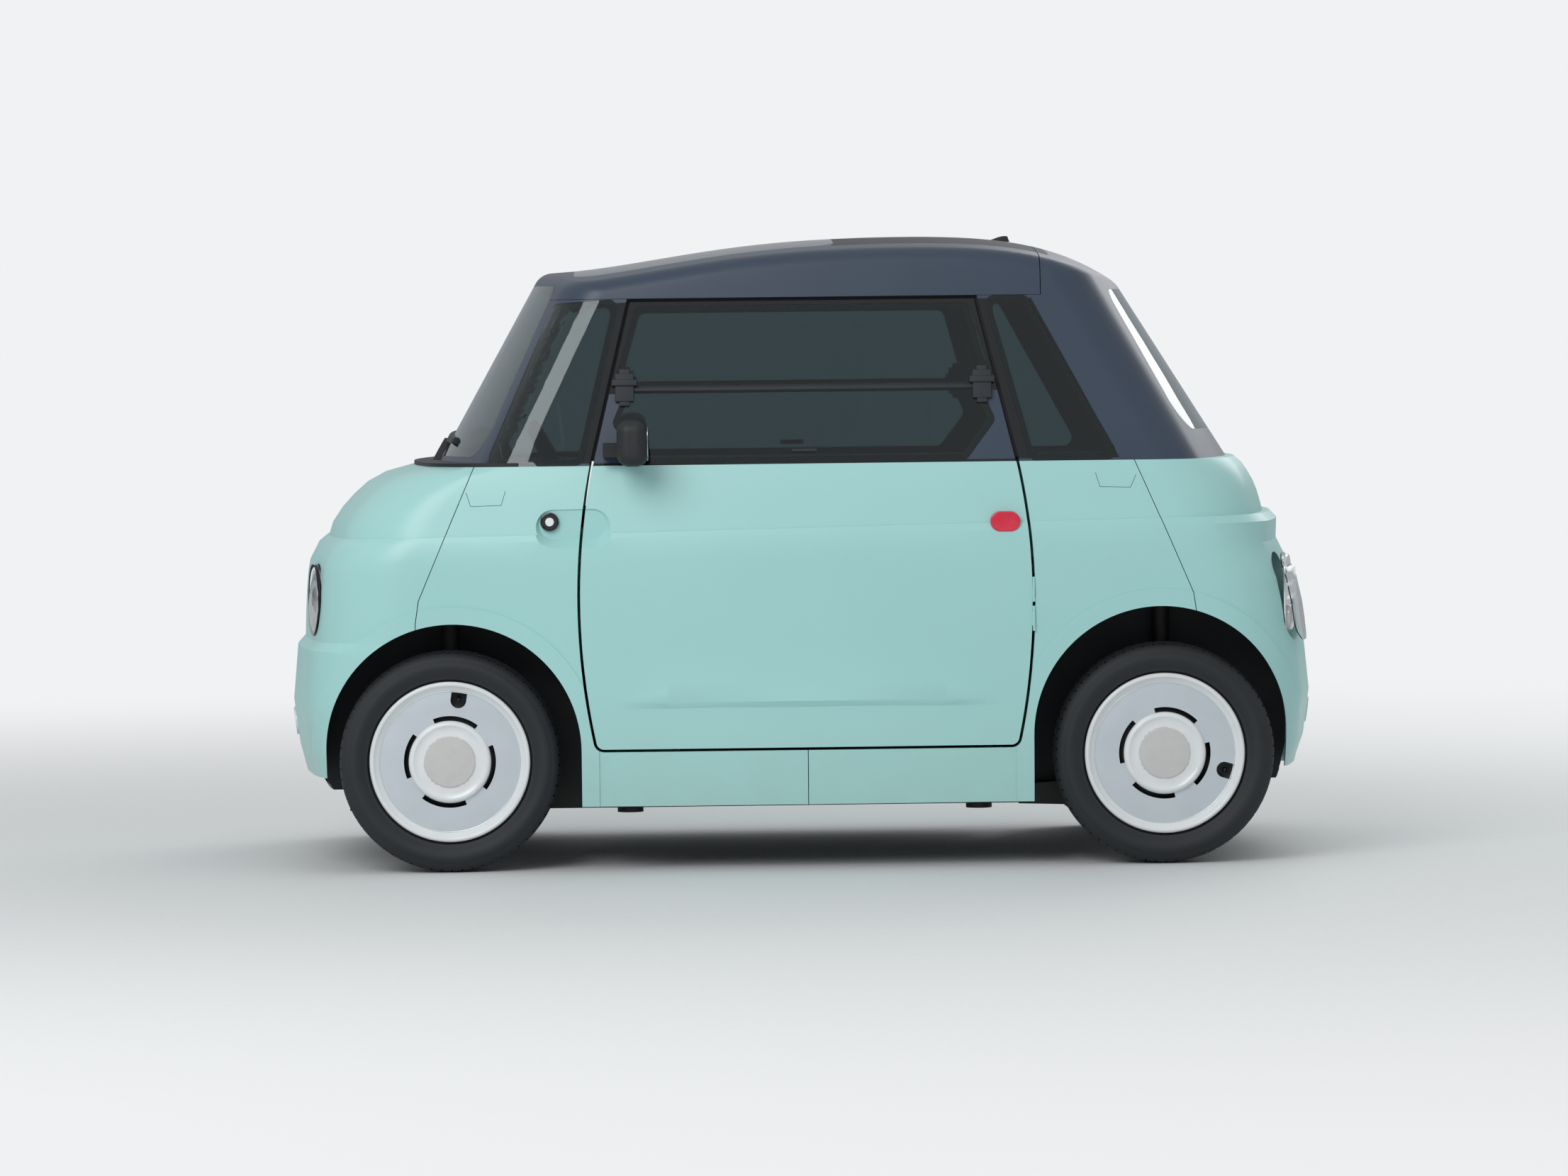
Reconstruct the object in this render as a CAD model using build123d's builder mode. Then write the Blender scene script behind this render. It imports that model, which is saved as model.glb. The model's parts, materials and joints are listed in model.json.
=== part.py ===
from build123d import *
import math
import os
from functools import cache

# Two-seat electric microcar: a steel ladder frame carrying thick-walled plastic body panels, a dark
# glasshouse, two like doors (each hinged at its own trailing edge as one walks round the car), seats,
# dashboard, steering and four covered disc wheels.
# Frame: +X forward, +Y left, +Z up, origin on the ground at the middle of the body. Millimetres.

# Overall sizes
body_length = 2535.0
body_width = 1400.0
roof_height = 1530.0
wheelbase = 1728.0
tyre_radius = 268.0
tyre_width = 155.0
track = 1170.0

# Heights of the body's main lines
sill_bottom = 157.0
bumper_bottom = 226.0
door_bottom = 292.0
ledge_height = 408.0
crease_height = 824.0
belt_height = 978.0
window_top = 1376.0

# Walls and gaps
wall = 28.0
door_wall = 40.0
frame_wall = 22.0
glass_thickness = 5.0
glass_rebate = 14.0
seat_gap = 0.3
panel_gap = 2.0
door_gap = 7.0
window_gap = 9.0

# Plan shape: bulging ends, almost straight flanks, round corners
corner_radius = 215.0
nose_radius = 2300.0
flank_radius = 22000.0
cabin_corner = 120.0
screen_radius = 1500.0

half_length = body_length / 2
half_width = body_width / 2
axle_x = wheelbase / 2
wheel_y = track / 2
ends = {"front": 1, "rear": -1}
sides = {"left": 1, "right": -1}

# Body sections, each a plan outline on a plane that may rise towards the tail. Columns: height at the
# middle of the car, how much higher the tail end is than the nose end, and how far the nose, the tail
# and the flanks stand in from the overall length and width.
lower_body = [
    (sill_bottom, 0, 70, 60, 24),
    (220, 0, 32, 40, 16),
    (290, 0, 14, 15, 10),
    (400, 0, 0, 0, 8),
    (535, 0, 12, 13, 6),
    (556, 0, 31, 17, 5),
    (620, 8, 33, 26, 3),
    (680, 16, 36, 40, 1),
    (728, 26, 40, 62, 0),
    (760, 32, 45, 79, 0),
    (807, 38, 68, 77, 4),
    (crease_height, 40, 88, 94, 10),
]
upper_body = [
    (crease_height, 40, 93, 112, 15),
    (852, 32, 103, 118, 21),
    (884, 22, 128, 126, 28),
    (912, 14, 157, 136, 34),
    (938, 7, 190, 149, 41),
    (960, 3, 234, 163, 47),
    (belt_height, 0, 305, 182, 54),
]
# The inside of the panels leaves out some of the sections, so it is plainer than the outside.
inside_heights = (sill_bottom, 220, 400, 620, 760, crease_height, 912, belt_height)

# Glasshouse sections. Columns: height, front and back at the middle, and half-width.
cabin_base = (belt_height, 900, 1068, 642)
cabin_peak = (1545, 585, 712, 532)
# Roof line at the middle. Columns: place along the car, height below the roof's highest point.
roof_line = [
    (1000, 146),
    (613, 81),
    (200, 27),
    (-200, 0),
    (-520, 14),
    (-700, 66),
    (-850, 170),
    (-1150, 430),
]
roof_crown = 58.0
roof_edge_radius = 50.0

# Side view of the door, alike at both ends
door_half_top = 420.0
door_half_belt = 515.0
door_half_middle = 548.0
door_half_foot = 509.0
door_corner = 22.0

# Where the nose and tail panels meet the corner panels, in side view
split_top = 797.0
split_knee = 934.0
split_foot = 942.0
split_knee_height = 658.0

# Wheel arches. The arch stands a little inboard of its axle, and the rear one higher.
arch_radius = 309.5
arch_shift = 9.0
arch_height = {"front": 292.0, "rear": 316.0}
arch_lip = 42.0
arch_lip_depth = 3.0
well_radius = 338.0
well_skin = 4.0
well_inner_y = 350.0
liner_wall = 5.0

# Ladder frame and floor
floor_top = 200.0
floor_thickness = 15.0
floor_rib = 8.0
rib_y = 165.0
rail_y = 300.0
rail_width = 50.0
rail_height = 55.0


def corner_points(end, half, end_radius, side_radius, radius):
    """Start, middle and end of the corner arc that joins a flank arc to an end arc."""
    end_centre = Vector(end - end_radius, 0)
    side_centre = Vector(0, half - side_radius)
    between = side_centre - end_centre
    reach = end_radius - radius
    far = side_radius - radius
    along = (reach**2 - far**2 + between.length**2) / (2 * between.length)
    across = math.sqrt(reach**2 - along**2)
    unit = between.normalized()
    foot = end_centre + unit * along
    normal = Vector(-unit.Y, unit.X) * across
    centre = max(foot + normal, foot - normal, key=lambda p: p.Y)
    start = side_centre + (centre - side_centre).normalized() * side_radius
    finish = end_centre + (centre - end_centre).normalized() * end_radius
    middle = centre + ((start - centre) + (finish - centre)).normalized() * radius
    return start, middle, finish


def plan_outline(front, back, half, corner, end_radius, side_radius):
    """Closed plan outline of eight arcs."""
    fore = corner_points(front, half, end_radius, side_radius, corner)
    aft = [Vector(-p.X, p.Y) for p in corner_points(back, half, end_radius, side_radius, corner)]

    def right(point):
        return Vector(point.X, -point.Y)

    with BuildSketch() as view:
        with BuildLine():
            ThreePointArc(aft[0], (0, half), fore[0])
            ThreePointArc(*fore)
            ThreePointArc(fore[2], (front, 0), right(fore[2]))
            ThreePointArc(right(fore[2]), right(fore[1]), right(fore[0]))
            ThreePointArc(right(fore[0]), (0, -half), right(aft[0]))
            ThreePointArc(right(aft[0]), right(aft[1]), right(aft[2]))
            ThreePointArc(right(aft[2]), (-back, 0), aft[2])
            ThreePointArc(aft[2], aft[1], aft[0])
        make_face()
    return view.sketch


@cache
def hull(inset):
    """The body below the glass as a solid, standing in from the outside by the inset on every side."""
    with BuildPart() as solid:
        for sections in (lower_body, upper_body):
            for height, rise, nose, tail, flank in sections:
                if inset > 0 and height not in inside_heights:
                    continue
                cap = inset / 2 if height == belt_height else 0
                slope = rise / body_length
                level = Plane(origin=(0, 0, height - cap), x_dir=(1, 0, -slope), z_dir=(slope, 0, 1))
                with BuildSketch(level):
                    add(plan_outline(
                        half_length - nose - inset,
                        half_length - tail - inset,
                        half_width - flank - inset,
                        corner_radius - inset,
                        nose_radius - inset,
                        flank_radius - inset,
                    ))
            loft(ruled=True)
    return solid.part


@cache
def roof_mould(inset):
    """Everything under the roof's outer surface."""
    with BuildPart() as solid:
        for place, drop in roof_line:
            top = roof_height - drop - inset
            with BuildSketch(Plane.YZ.offset(place)):
                with BuildLine():
                    ThreePointArc((-half_width, top - roof_crown), (0, top), (half_width, top - roof_crown))
                    Polyline(
                        (half_width, top - roof_crown),
                        (half_width, sill_bottom),
                        (-half_width, sill_bottom),
                        (-half_width, top - roof_crown),
                    )
                make_face()
        loft()
    return solid.part


@cache
def cabin(inset):
    """The glasshouse as a solid, standing in from the outside by the inset."""
    mould = roof_mould(inset)
    with BuildPart() as solid:
        for height, front, back, half in (cabin_base, cabin_peak):
            with BuildSketch(Plane.XY.offset(height)):
                add(plan_outline(
                    front - inset,
                    back - inset,
                    half - inset,
                    cabin_corner - inset,
                    screen_radius - inset,
                    flank_radius - inset,
                ))
        loft(ruled=True)
        add(mould, mode=Mode.INTERSECT)
        fillet(solid.faces().sort_by(Axis.Z)[-1].edges(), roof_edge_radius - inset)
    return solid.part


def layer_piece(maker, outer, inner, block):
    """What a block cuts out of the layer of a body form that lies between two insets."""
    with BuildPart() as piece:
        add(block)
        add(maker(outer), mode=Mode.INTERSECT)
        add(maker(inner), mode=Mode.SUBTRACT)
    return piece.part


def side_block(sketch, near, far):
    """A side-view sketch carried across the car, from one place to another."""
    with BuildPart() as block:
        with BuildSketch(Plane.XZ.offset(-near)):
            add(sketch)
        extrude(amount=near - far)
    return block.part


def front_block(sketch, near, far):
    """A front-view sketch (across, up) carried along the car, from one place to another."""
    with BuildPart() as block:
        with BuildSketch(Plane.YZ.offset(near)):
            add(sketch)
        extrude(amount=far - near)
    return block.part


def polygon_sketch(points, radius=0.0, grow=0.0):
    """A closed outline with rounded corners, grown or shrunk."""
    with BuildSketch() as view:
        with BuildLine():
            Polyline(*points, close=True)
        make_face()
        if grow:
            offset(amount=grow, kind=Kind.INTERSECTION)
        if radius:
            fillet(view.vertices(), radius)
    return view.sketch


def door_sketch(grow):
    """The door in side view, with its window."""
    with BuildSketch() as view:
        with BuildLine():
            Polyline(
                (door_half_belt, belt_height),
                (door_half_top, window_top),
                (-door_half_top, window_top),
                (-door_half_belt, belt_height),
            )
            middle_height = (belt_height + door_bottom) / 2
            ThreePointArc(
                (door_half_belt, belt_height),
                (door_half_middle, middle_height),
                (door_half_foot, door_bottom),
            )
            Line((door_half_foot, door_bottom), (-door_half_foot, door_bottom))
            ThreePointArc(
                (-door_half_foot, door_bottom),
                (-door_half_middle, middle_height),
                (-door_half_belt, belt_height),
            )
        make_face()
        offset(amount=grow, kind=Kind.INTERSECTION)
        fillet(view.vertices().group_by(Axis.Y)[0], door_corner + grow)
    return view.sketch


def arch_sketch(end, radius, foot):
    """A wheel arch in side view: a round top over straight sides."""
    middle = ends[end] * (axle_x - arch_shift)
    height = arch_height[end]
    with BuildSketch() as view:
        with BuildLine():
            ThreePointArc((middle - radius, height), (middle, height + radius), (middle + radius, height))
            Polyline(
                (middle + radius, height),
                (middle + radius, foot),
                (middle - radius, foot),
                (middle - radius, height),
            )
        make_face()
    return view.sketch


def both_sides(sketch, near, far):
    """A side-view sketch carried across on the left and on the right, but not between."""
    with BuildPart() as blocks:
        add(side_block(sketch, near, far))
        add(side_block(sketch, -far, -near))
    return blocks.part


parts = {}


def keep(name, builder):
    """Names a finished piece and puts it on the list of files."""
    builder.part.label = name
    parts[name] = builder.part


# Body forms
beyond = half_width + 200.0
hull_outside = hull(0)
hull_inside = hull(wall)
hull_fit = hull(wall + seat_gap)
well_side = hull(well_skin)
cabin_outside = cabin(0)
cabin_inside = cabin(frame_wall)

with BuildPart() as floor_hatch:
    # What the body shell leaves open under the glasshouse.
    with BuildSketch(Plane.XY.offset(belt_height - 2 * door_wall)):
        inward = door_wall - 4
        add(plan_outline(
            cabin_base[1] - inward,
            cabin_base[2] - inward,
            cabin_base[3] - inward,
            cabin_corner - inward,
            screen_radius - inward,
            flank_radius - inward,
        ))
    extrude(amount=3 * door_wall)

# Wheel arches and wells, which cut the panels
with BuildPart() as arch_cuts:
    for end in ends:
        add(both_sides(arch_sketch(end, arch_radius, 0), 300, beyond))
with BuildPart() as wells:
    for end in ends:
        add(both_sides(arch_sketch(end, well_radius, 0), well_inner_y, beyond))
    add(well_side, mode=Mode.INTERSECT)
with BuildPart() as arch_bands:
    # Raised flat band round each arch opening.
    for end in ends:
        add(both_sides(arch_sketch(end, arch_radius + arch_lip, sill_bottom), 300, beyond))
    add(hull(-arch_lip_depth), mode=Mode.INTERSECT)

door_opening = door_sketch(door_gap / 2)
window_opening = door_sketch(window_gap / 2)
with BuildPart() as door_cuts:
    add(both_sides(door_opening, 300, beyond))

# Grip recess that starts on the corner panel and runs out on the door, with a push button. It is at
# the front on the left side and at the rear on the right side.
recess_x = 561.0
recess_height = 838.0
recess_length = 198.0
recess_width = 104.0
recess_floor_y = 662.0
recess_taper = -38.0
with BuildPart() as recesses:
    for way in (1, -1):
        foot = (way * recess_x, way * recess_floor_y, recess_height)
        with BuildSketch(Plane(origin=foot, x_dir=(way, 0, 0), z_dir=(0, way, 0))):
            SlotOverall(recess_length - 36, recess_width - 36)
        extrude(amount=60, taper=recess_taper)

# Door hinges, slim ones in the gap at the left door's rear edge: a pin between two eyes on the body,
# and an eye on the door that turns on it. The right side is the same turned half round.
hinge_x = -547.6
hinge_y = 693.0
hinge_heights = (600.0, 670.0)
hinge_length = 60.0
body_eye_length = 12.0
door_eye_length = hinge_length - 2 * body_eye_length - 2 * seat_gap
eye_radius = 3.0
pin_radius = 1.5
pin_fit = 0.15
leaf_reach = 6.0
leaf_thickness = 3.5
leaf_y = hinge_y - eye_radius - 0.75


def hinge_eye(low, length, way, bore):
    """An eye from a height up, with its leaf forwards or back, bored for the pin or closed."""
    with BuildPart() as eye:
        with BuildSketch(Plane.XY.offset(low)):
            with Locations((hinge_x + way * leaf_reach / 2, leaf_y)):
                Rectangle(leaf_reach, leaf_thickness)
            with Locations((hinge_x, hinge_y)):
                Circle(eye_radius)
                if bore:
                    Circle(bore, mode=Mode.SUBTRACT)
        extrude(amount=length)
    return eye.part


with BuildPart() as body_hinge_eyes:
    for middle in hinge_heights:
        low = middle - hinge_length / 2
        add(hinge_eye(low, body_eye_length, -1, 0))
        add(hinge_eye(low + hinge_length - body_eye_length, body_eye_length, -1, 0))
        with BuildSketch(Plane.XY.offset(low)):
            with Locations((hinge_x, hinge_y)):
                Circle(pin_radius)
        extrude(amount=hinge_length)
with BuildPart() as door_hinge_eyes:
    for middle in hinge_heights:
        add(hinge_eye(middle - door_eye_length / 2, door_eye_length, 1, pin_radius + pin_fit))

# Panels below the belt
hinge_turn = {("rear", "left"): 0, ("front", "right"): 180}
with BuildPart() as shell:
    add(hull_outside)
    add(arch_bands.part)
    add(hull_inside, mode=Mode.SUBTRACT)
    add(floor_hatch.part, mode=Mode.SUBTRACT)
    add(arch_cuts.part, mode=Mode.SUBTRACT)
    add(wells.part, mode=Mode.SUBTRACT)

half_gap = panel_gap / 2
for end, way in ends.items():
    for side, hand in sides.items():
        with BuildPart() as corner_panel:
            outline = [
                (way * half_gap, 0),
                (way * (split_foot - half_gap), 0),
                (way * (split_foot - half_gap), split_knee_height - 54),
                (way * (split_knee - half_gap), split_knee_height),
                (way * (split_top - half_gap), belt_height + half_gap),
                (way * half_gap, belt_height + half_gap),
            ]
            near, far = sorted((0, hand * beyond))
            add(side_block(polygon_sketch(outline), near, far))
            add(shell.part, mode=Mode.INTERSECT)
            add(door_cuts.part, mode=Mode.SUBTRACT)
            add(recesses.part, mode=Mode.SUBTRACT)
            if (end, side) in hinge_turn:
                add(body_hinge_eyes.part.rotate(Axis.Z, hinge_turn[(end, side)]))
        keep(f"corner_panel_{end}_{side}", corner_panel)

# Lamps, set into holes in the nose and tail. The headlamps are round and flat in the upright nose.
headlamp_y = 420.0
headlamp_height = 655.0
headlamp_radius = 88.0
headlamp_stand = 6.0
tail_lamp_y = 512.0
tail_lamp_height = 640.0
tail_lamp_size = (124.0, 214.0)
tail_lamp_corner = 52.0
tail_lamp_stand = 22.0
pad_height = 341.0
pad_size = (330.0, 62.0)
pad_stand = 5.0


def lamp_views(grow):
    """Front-view outlines of the four lamps and two bumper pads, each with the end it is on."""
    views = []
    for hand in sides.values():
        with BuildSketch() as round_lamp:
            with Locations((hand * headlamp_y, headlamp_height)):
                Circle(headlamp_radius + grow)
        with BuildSketch() as tall_lamp:
            with Locations((hand * tail_lamp_y, tail_lamp_height)):
                RectangleRounded(
                    tail_lamp_size[0] + 2 * grow, tail_lamp_size[1] + 2 * grow, tail_lamp_corner + grow
                )
        views.append((round_lamp.sketch, "headlamps", 1))
        views.append((tall_lamp.sketch, "tail_lamps", -1))
    for way in ends.values():
        with BuildSketch() as pad:
            with Locations((0, pad_height)):
                RectangleRounded(pad_size[0] + 2 * grow, pad_size[1] + 2 * grow, pad_size[1] / 2 + grow - 2)
        views.append((pad.sketch, "bumper_pads", way))
    return views


with BuildPart() as lamp_holes:
    for view, _, way in lamp_views(seat_gap):
        near, far = sorted((way * 900, way * (half_length + 100)))
        add(front_block(view, near, far))

for end, way in ends.items():
    with BuildPart() as end_panel:
        outline = [
            (way * (split_foot + half_gap), bumper_bottom),
            (way * (half_length + 100), bumper_bottom),
            (way * (half_length + 100), belt_height + half_gap),
            (way * (split_top + half_gap), belt_height + half_gap),
            (way * (split_knee + half_gap), split_knee_height),
            (way * (split_foot + half_gap), split_knee_height - 54),
        ]
        add(side_block(polygon_sketch(outline), -beyond, beyond))
        add(shell.part, mode=Mode.INTERSECT)
        add(lamp_holes.part, mode=Mode.SUBTRACT)
    keep(f"{end}_panel", end_panel)

for name, stand in (("headlamps", headlamp_stand), ("tail_lamps", tail_lamp_stand), ("bumper_pads", pad_stand)):
    with BuildPart() as lamps:
        for view, kind, way in lamp_views(0):
            if kind == name:
                near, far = sorted((way * 900, way * (half_length + 100)))
                add(layer_piece(hull, -stand, wall, front_block(view, near, far)))
    keep(name, lamps)

# Dark glasshouse frames, with rebated openings for the glass
roof_split = -579.0
screen_outline = [(-530, 1012), (530, 1012), (412, 1402), (-412, 1402)]
backlight_outline = [(-500, 1062), (500, 1062), (410, 1378), (-410, 1378)]
front_quarter_outline = [(592, 1356), (458, 1366), (548, 992), (752, 992)]
rear_quarter_outline = [(-456, 1366), (-536, 1366), (-744, 992), (-556, 992)]
roof_outline = [(-70, -400), (540, -400), (540, 400), (-70, 400)]


def pane_block(name, grow):
    """The block that cuts out one pane, or a pair of quarter panes."""
    if name == "windscreen":
        return front_block(polygon_sketch(screen_outline, 60, grow), 400, 1100)
    if name == "rear_window":
        return front_block(polygon_sketch(backlight_outline, 60, grow), -1300, -650)
    if name == "roof_glass":
        with BuildPart() as block:
            with BuildSketch(Plane.XY.offset(window_top + 40)):
                add(polygon_sketch(roof_outline, 60, grow))
            extrude(amount=300)
        return block.part
    outline = front_quarter_outline if name == "front_quarter_glass" else rear_quarter_outline
    return both_sides(polygon_sketch(outline, 22, grow), 300, beyond)


pane_names = ("windscreen", "rear_window", "roof_glass", "front_quarter_glass", "rear_quarter_glass")
rebate_depth = glass_thickness + seat_gap
for name in pane_names:
    with BuildPart() as pane:
        add(layer_piece(cabin, 0, glass_thickness, pane_block(name, glass_rebate - seat_gap)))
    keep(name, pane)

with BuildPart() as cabin_shell:
    add(cabin_outside)
    add(cabin_inside, mode=Mode.SUBTRACT)
    for name in pane_names:
        rebate = layer_piece(cabin, -glass_thickness, rebate_depth, pane_block(name, glass_rebate))
        add(rebate, mode=Mode.SUBTRACT)
        add(pane_block(name, 0), mode=Mode.SUBTRACT)
    add(both_sides(window_opening, 300, beyond), mode=Mode.SUBTRACT)

rail_foot = window_top + window_gap / 2
frame_regions = {
    "windscreen_frame": [
        (0, belt_height),
        (1200, belt_height),
        (1200, rail_foot - half_gap),
        (0, rail_foot - half_gap),
    ],
    "roof_frame": [
        (1200, rail_foot),
        (1200, 1600),
        (roof_split + half_gap, 1600),
        (roof_split + half_gap, rail_foot),
    ],
    "rear_frame": [
        (0, belt_height),
        (-1300, belt_height),
        (-1300, 1600),
        (roof_split - half_gap, 1600),
        (roof_split - half_gap, rail_foot - half_gap),
        (0, rail_foot - half_gap),
    ],
}
for name, outline in frame_regions.items():
    with BuildPart() as frame:
        add(side_block(polygon_sketch(outline), -beyond, beyond))
        add(cabin_shell.part, mode=Mode.INTERSECT)
    keep(name, frame)

# Doors
upper_pane_outline = [(-392, 1348), (392, 1348), (442, 1172), (-442, 1172)]
lower_pane_outline = [(-418, 1150), (418, 1150), (448, 1080), (385, 996), (-385, 996), (-448, 1080)]
badge_x = -481.0
badge_height = 834.0
badge_size = (72.0, 48.0)
badge_back_y = 655.0
badge_face_y = 694.0


def door_pane(outline, grow):
    """The block that cuts out one pane of the left door."""
    return side_block(polygon_sketch(outline, 20, grow), 300, beyond)


with BuildPart() as badge_left:
    with BuildSketch(Plane.XZ.offset(-badge_back_y)):
        with Locations((badge_x, badge_height)):
            SlotOverall(*badge_size)
    extrude(amount=badge_back_y - badge_face_y)
    fillet(badge_left.faces().sort_by(Axis.Y)[-1].edges(), 3)

# Long shallow ridge along the foot of the door skin. Columns: place along the door, share of its height.
ridge_stations = [(-458, 0.06), (-330, 1), (0, 1), (330, 1), (458, 0.06)]
ridge_stand = 8.0
ridge_root = 12.0
ridge_drop = 15.0
ridge_rise = 56.0
ridge_setback = 8.0
with BuildPart() as door_ridge:
    for place, share in ridge_stations:
        skin_y = half_width - ridge_setback - place**2 / (2 * flank_radius)
        with BuildSketch(Plane.YZ.offset(place)):
            with BuildLine():
                Polyline(
                    (skin_y - ridge_root, ledge_height - ridge_drop),
                    (skin_y, ledge_height - ridge_drop),
                    (skin_y + share * ridge_stand, ledge_height),
                    (skin_y, ledge_height + ridge_rise),
                    (skin_y - ridge_root, ledge_height + ridge_rise),
                    close=True,
                )
            make_face()
    loft(ruled=True)

with BuildPart() as door_left:
    add(side_block(door_sketch(-door_gap / 2), 300, beyond))
    add(hull_outside, mode=Mode.INTERSECT)
    add(door_ridge.part)
    add(hull(door_wall), mode=Mode.SUBTRACT)
    add(floor_hatch.part, mode=Mode.SUBTRACT)
    add(door_hinge_eyes.part)
    add(recesses.part, mode=Mode.SUBTRACT)
    with BuildSketch(Plane.XZ.offset(-badge_back_y + seat_gap)):
        with Locations((badge_x, badge_height)):
            SlotOverall(badge_size[0] + 2 * seat_gap, badge_size[1] + 2 * seat_gap)
    extrude(amount=-beyond, mode=Mode.SUBTRACT)

with BuildPart() as door_frame_left:
    window_block = side_block(door_sketch(-window_gap / 2), 300, beyond)
    add(layer_piece(cabin, 0, frame_wall, window_block))
    for outline in (upper_pane_outline, lower_pane_outline):
        rebate = layer_piece(cabin, -glass_thickness, rebate_depth, door_pane(outline, glass_rebate))
        add(rebate, mode=Mode.SUBTRACT)
        add(door_pane(outline, 0), mode=Mode.SUBTRACT)

with BuildPart() as door_glass_left:
    for outline in (upper_pane_outline, lower_pane_outline):
        add(layer_piece(cabin, 0, glass_thickness, door_pane(outline, glass_rebate - seat_gap)))

for name, builder in (
    ("door", door_left),
    ("door_frame", door_frame_left),
    ("door_glass", door_glass_left),
    ("door_badge", badge_left),
):
    keep(f"{name}_left", builder)
    with BuildPart() as turned:
        add(builder.part.rotate(Axis.Z, 180))
    keep(f"{name}_right", turned)

# Door mirrors, on the front lower corner of each window
mirror_centre = (414.0, 742.0, 1034.0)
mirror_size = (76.0, 150.0, 112.0)
mirror_arm_size = (34.0, 66.0, 34.0)
mirror_foot = (474.0, 650.0, 1016.0)
for side, hand in sides.items():
    with BuildPart() as mirror:
        with Locations((mirror_centre[0], hand * mirror_centre[1], mirror_centre[2])):
            Box(*mirror_size)
        fillet(mirror.edges(), 30)
        with Locations((mirror_foot[0] - 20, hand * mirror_foot[1], mirror_foot[2])):
            Box(64, 74, 34)
        add(cabin(-seat_gap), mode=Mode.SUBTRACT)
    keep(f"mirror_{side}", mirror)

# Lock buttons in the grip recesses
button_x = 616.0
button_height = 845.0
button_radius = 22.0
with BuildPart() as lock_buttons:
    for way in (1, -1):
        with BuildSketch(Plane.XZ.offset(-way * (recess_floor_y + seat_gap))):
            with Locations((way * button_x, button_height)):
                Circle(button_radius)
        extrude(amount=-way * 9)
keep("lock_buttons", lock_buttons)

# Cowl in front of the screen, with one wiper lying on the glass
cowl_thickness = 9.0
with BuildPart() as cowl:
    with BuildSketch(Plane.XY.offset(belt_height)):
        height, rise, nose, tail, flank = upper_body[-1]
        add(plan_outline(
            half_length - nose - 2,
            half_length - tail - 2,
            half_width - flank - 2,
            corner_radius - 2,
            nose_radius - 2,
            flank_radius - 2,
        ))
    extrude(amount=cowl_thickness)
    add(side_block(polygon_sketch([(690, 900), (1200, 900), (1200, 1100), (690, 1100)]), -beyond, beyond),
        mode=Mode.INTERSECT)
    add(cabin(-seat_gap), mode=Mode.SUBTRACT)
    solids = cowl.solids().sort_by(SortBy.VOLUME)
    for scrap in solids[:-1]:
        add(scrap, mode=Mode.SUBTRACT)
keep("cowl", cowl)

wiper_outline = [(-430, 1052), (250, 1030), (250, 1044), (-430, 1066)]
wiper_arm_outline = [(-40, 1040), (-20, 1040), (60, 988), (30, 988)]
with BuildPart() as wiper:
    for outline, stand in ((wiper_outline, 12), (wiper_arm_outline, 20)):
        add(layer_piece(cabin, -stand, -seat_gap, front_block(polygon_sketch(outline), 400, 1100)))
keep("wiper", wiper)

# Wheel liners: arched tubs that close the wells off from the cabin
liner_foot = floor_top - floor_thickness
shaft_hole_radius = 36.0
with BuildPart() as door_room:
    # Space the doors need behind their inner face.
    add(both_sides(door_sketch(8), 300, beyond))
    add(hull(door_wall + 7), mode=Mode.SUBTRACT)
with BuildPart() as wheel_liners:
    for end in ends:
        add(both_sides(arch_sketch(end, well_radius - seat_gap, liner_foot), well_inner_y, beyond))
    for end in ends:
        hollow = arch_sketch(end, well_radius - liner_wall, 0)
        add(both_sides(hollow, well_inner_y + liner_wall, beyond), mode=Mode.SUBTRACT)
    add(hull_fit, mode=Mode.INTERSECT)
    add(door_room.part, mode=Mode.SUBTRACT)
    with Locations((axle_x, 0, tyre_radius)):
        Cylinder(shaft_hole_radius, 2 * half_width, rotation=(90, 0, 0), mode=Mode.SUBTRACT)
keep("wheel_liners", wheel_liners)

# Floor pan, fitted inside the panels and round the wells
with BuildPart() as floor_pan:
    with BuildSketch(Plane.XY.offset(floor_top - floor_thickness)):
        Rectangle(2 * half_length, 2 * half_width)
    extrude(amount=floor_thickness)
    add(hull_fit, mode=Mode.INTERSECT)
    for end in ends:
        add(both_sides(arch_sketch(end, well_radius + seat_gap, 0), well_inner_y - seat_gap, beyond),
            mode=Mode.SUBTRACT)
    with BuildSketch(Plane.XY.offset(floor_top)):
        with GridLocations(0, 2 * rib_y, 1, 2):
            Rectangle(900, 60)
    extrude(amount=floor_rib)
keep("floor_pan", floor_pan)

# Ladder frame: two rails with jacking pads under them and stubs for the trailing arms, and the members
# between them
rail_front = 1120.0
rail_rear = -640.0
rail_top = floor_top - floor_thickness
jack_radius = 32.0
jack_x = (430.0, -430.0)
jack_drop = 12.0
pivot_x = -548.0
pivot_height = 158.0
pivot_radius = 12.0
pivot_end_y = 410.0
with BuildPart() as ladder_frame:
    rail_length = rail_front - rail_rear
    with Locations(((rail_front + rail_rear) / 2, 0, rail_top - rail_height / 2)):
        with GridLocations(0, 2 * rail_y, 1, 2):
            Box(rail_length, rail_width, rail_height)
    for place in jack_x:
        with Locations((place, rail_y, rail_top - rail_height), (place, -rail_y, rail_top - rail_height)):
            Cylinder(jack_radius, jack_drop, align=(Align.CENTER, Align.CENTER, Align.MAX))
    for hand in sides.values():
        with BuildSketch(Plane(origin=(pivot_x, hand * rail_y, pivot_height), z_dir=(0, hand, 0))):
            Circle(pivot_radius)
        extrude(amount=pivot_end_y - rail_y)
keep("ladder_frame", ladder_frame)

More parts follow.
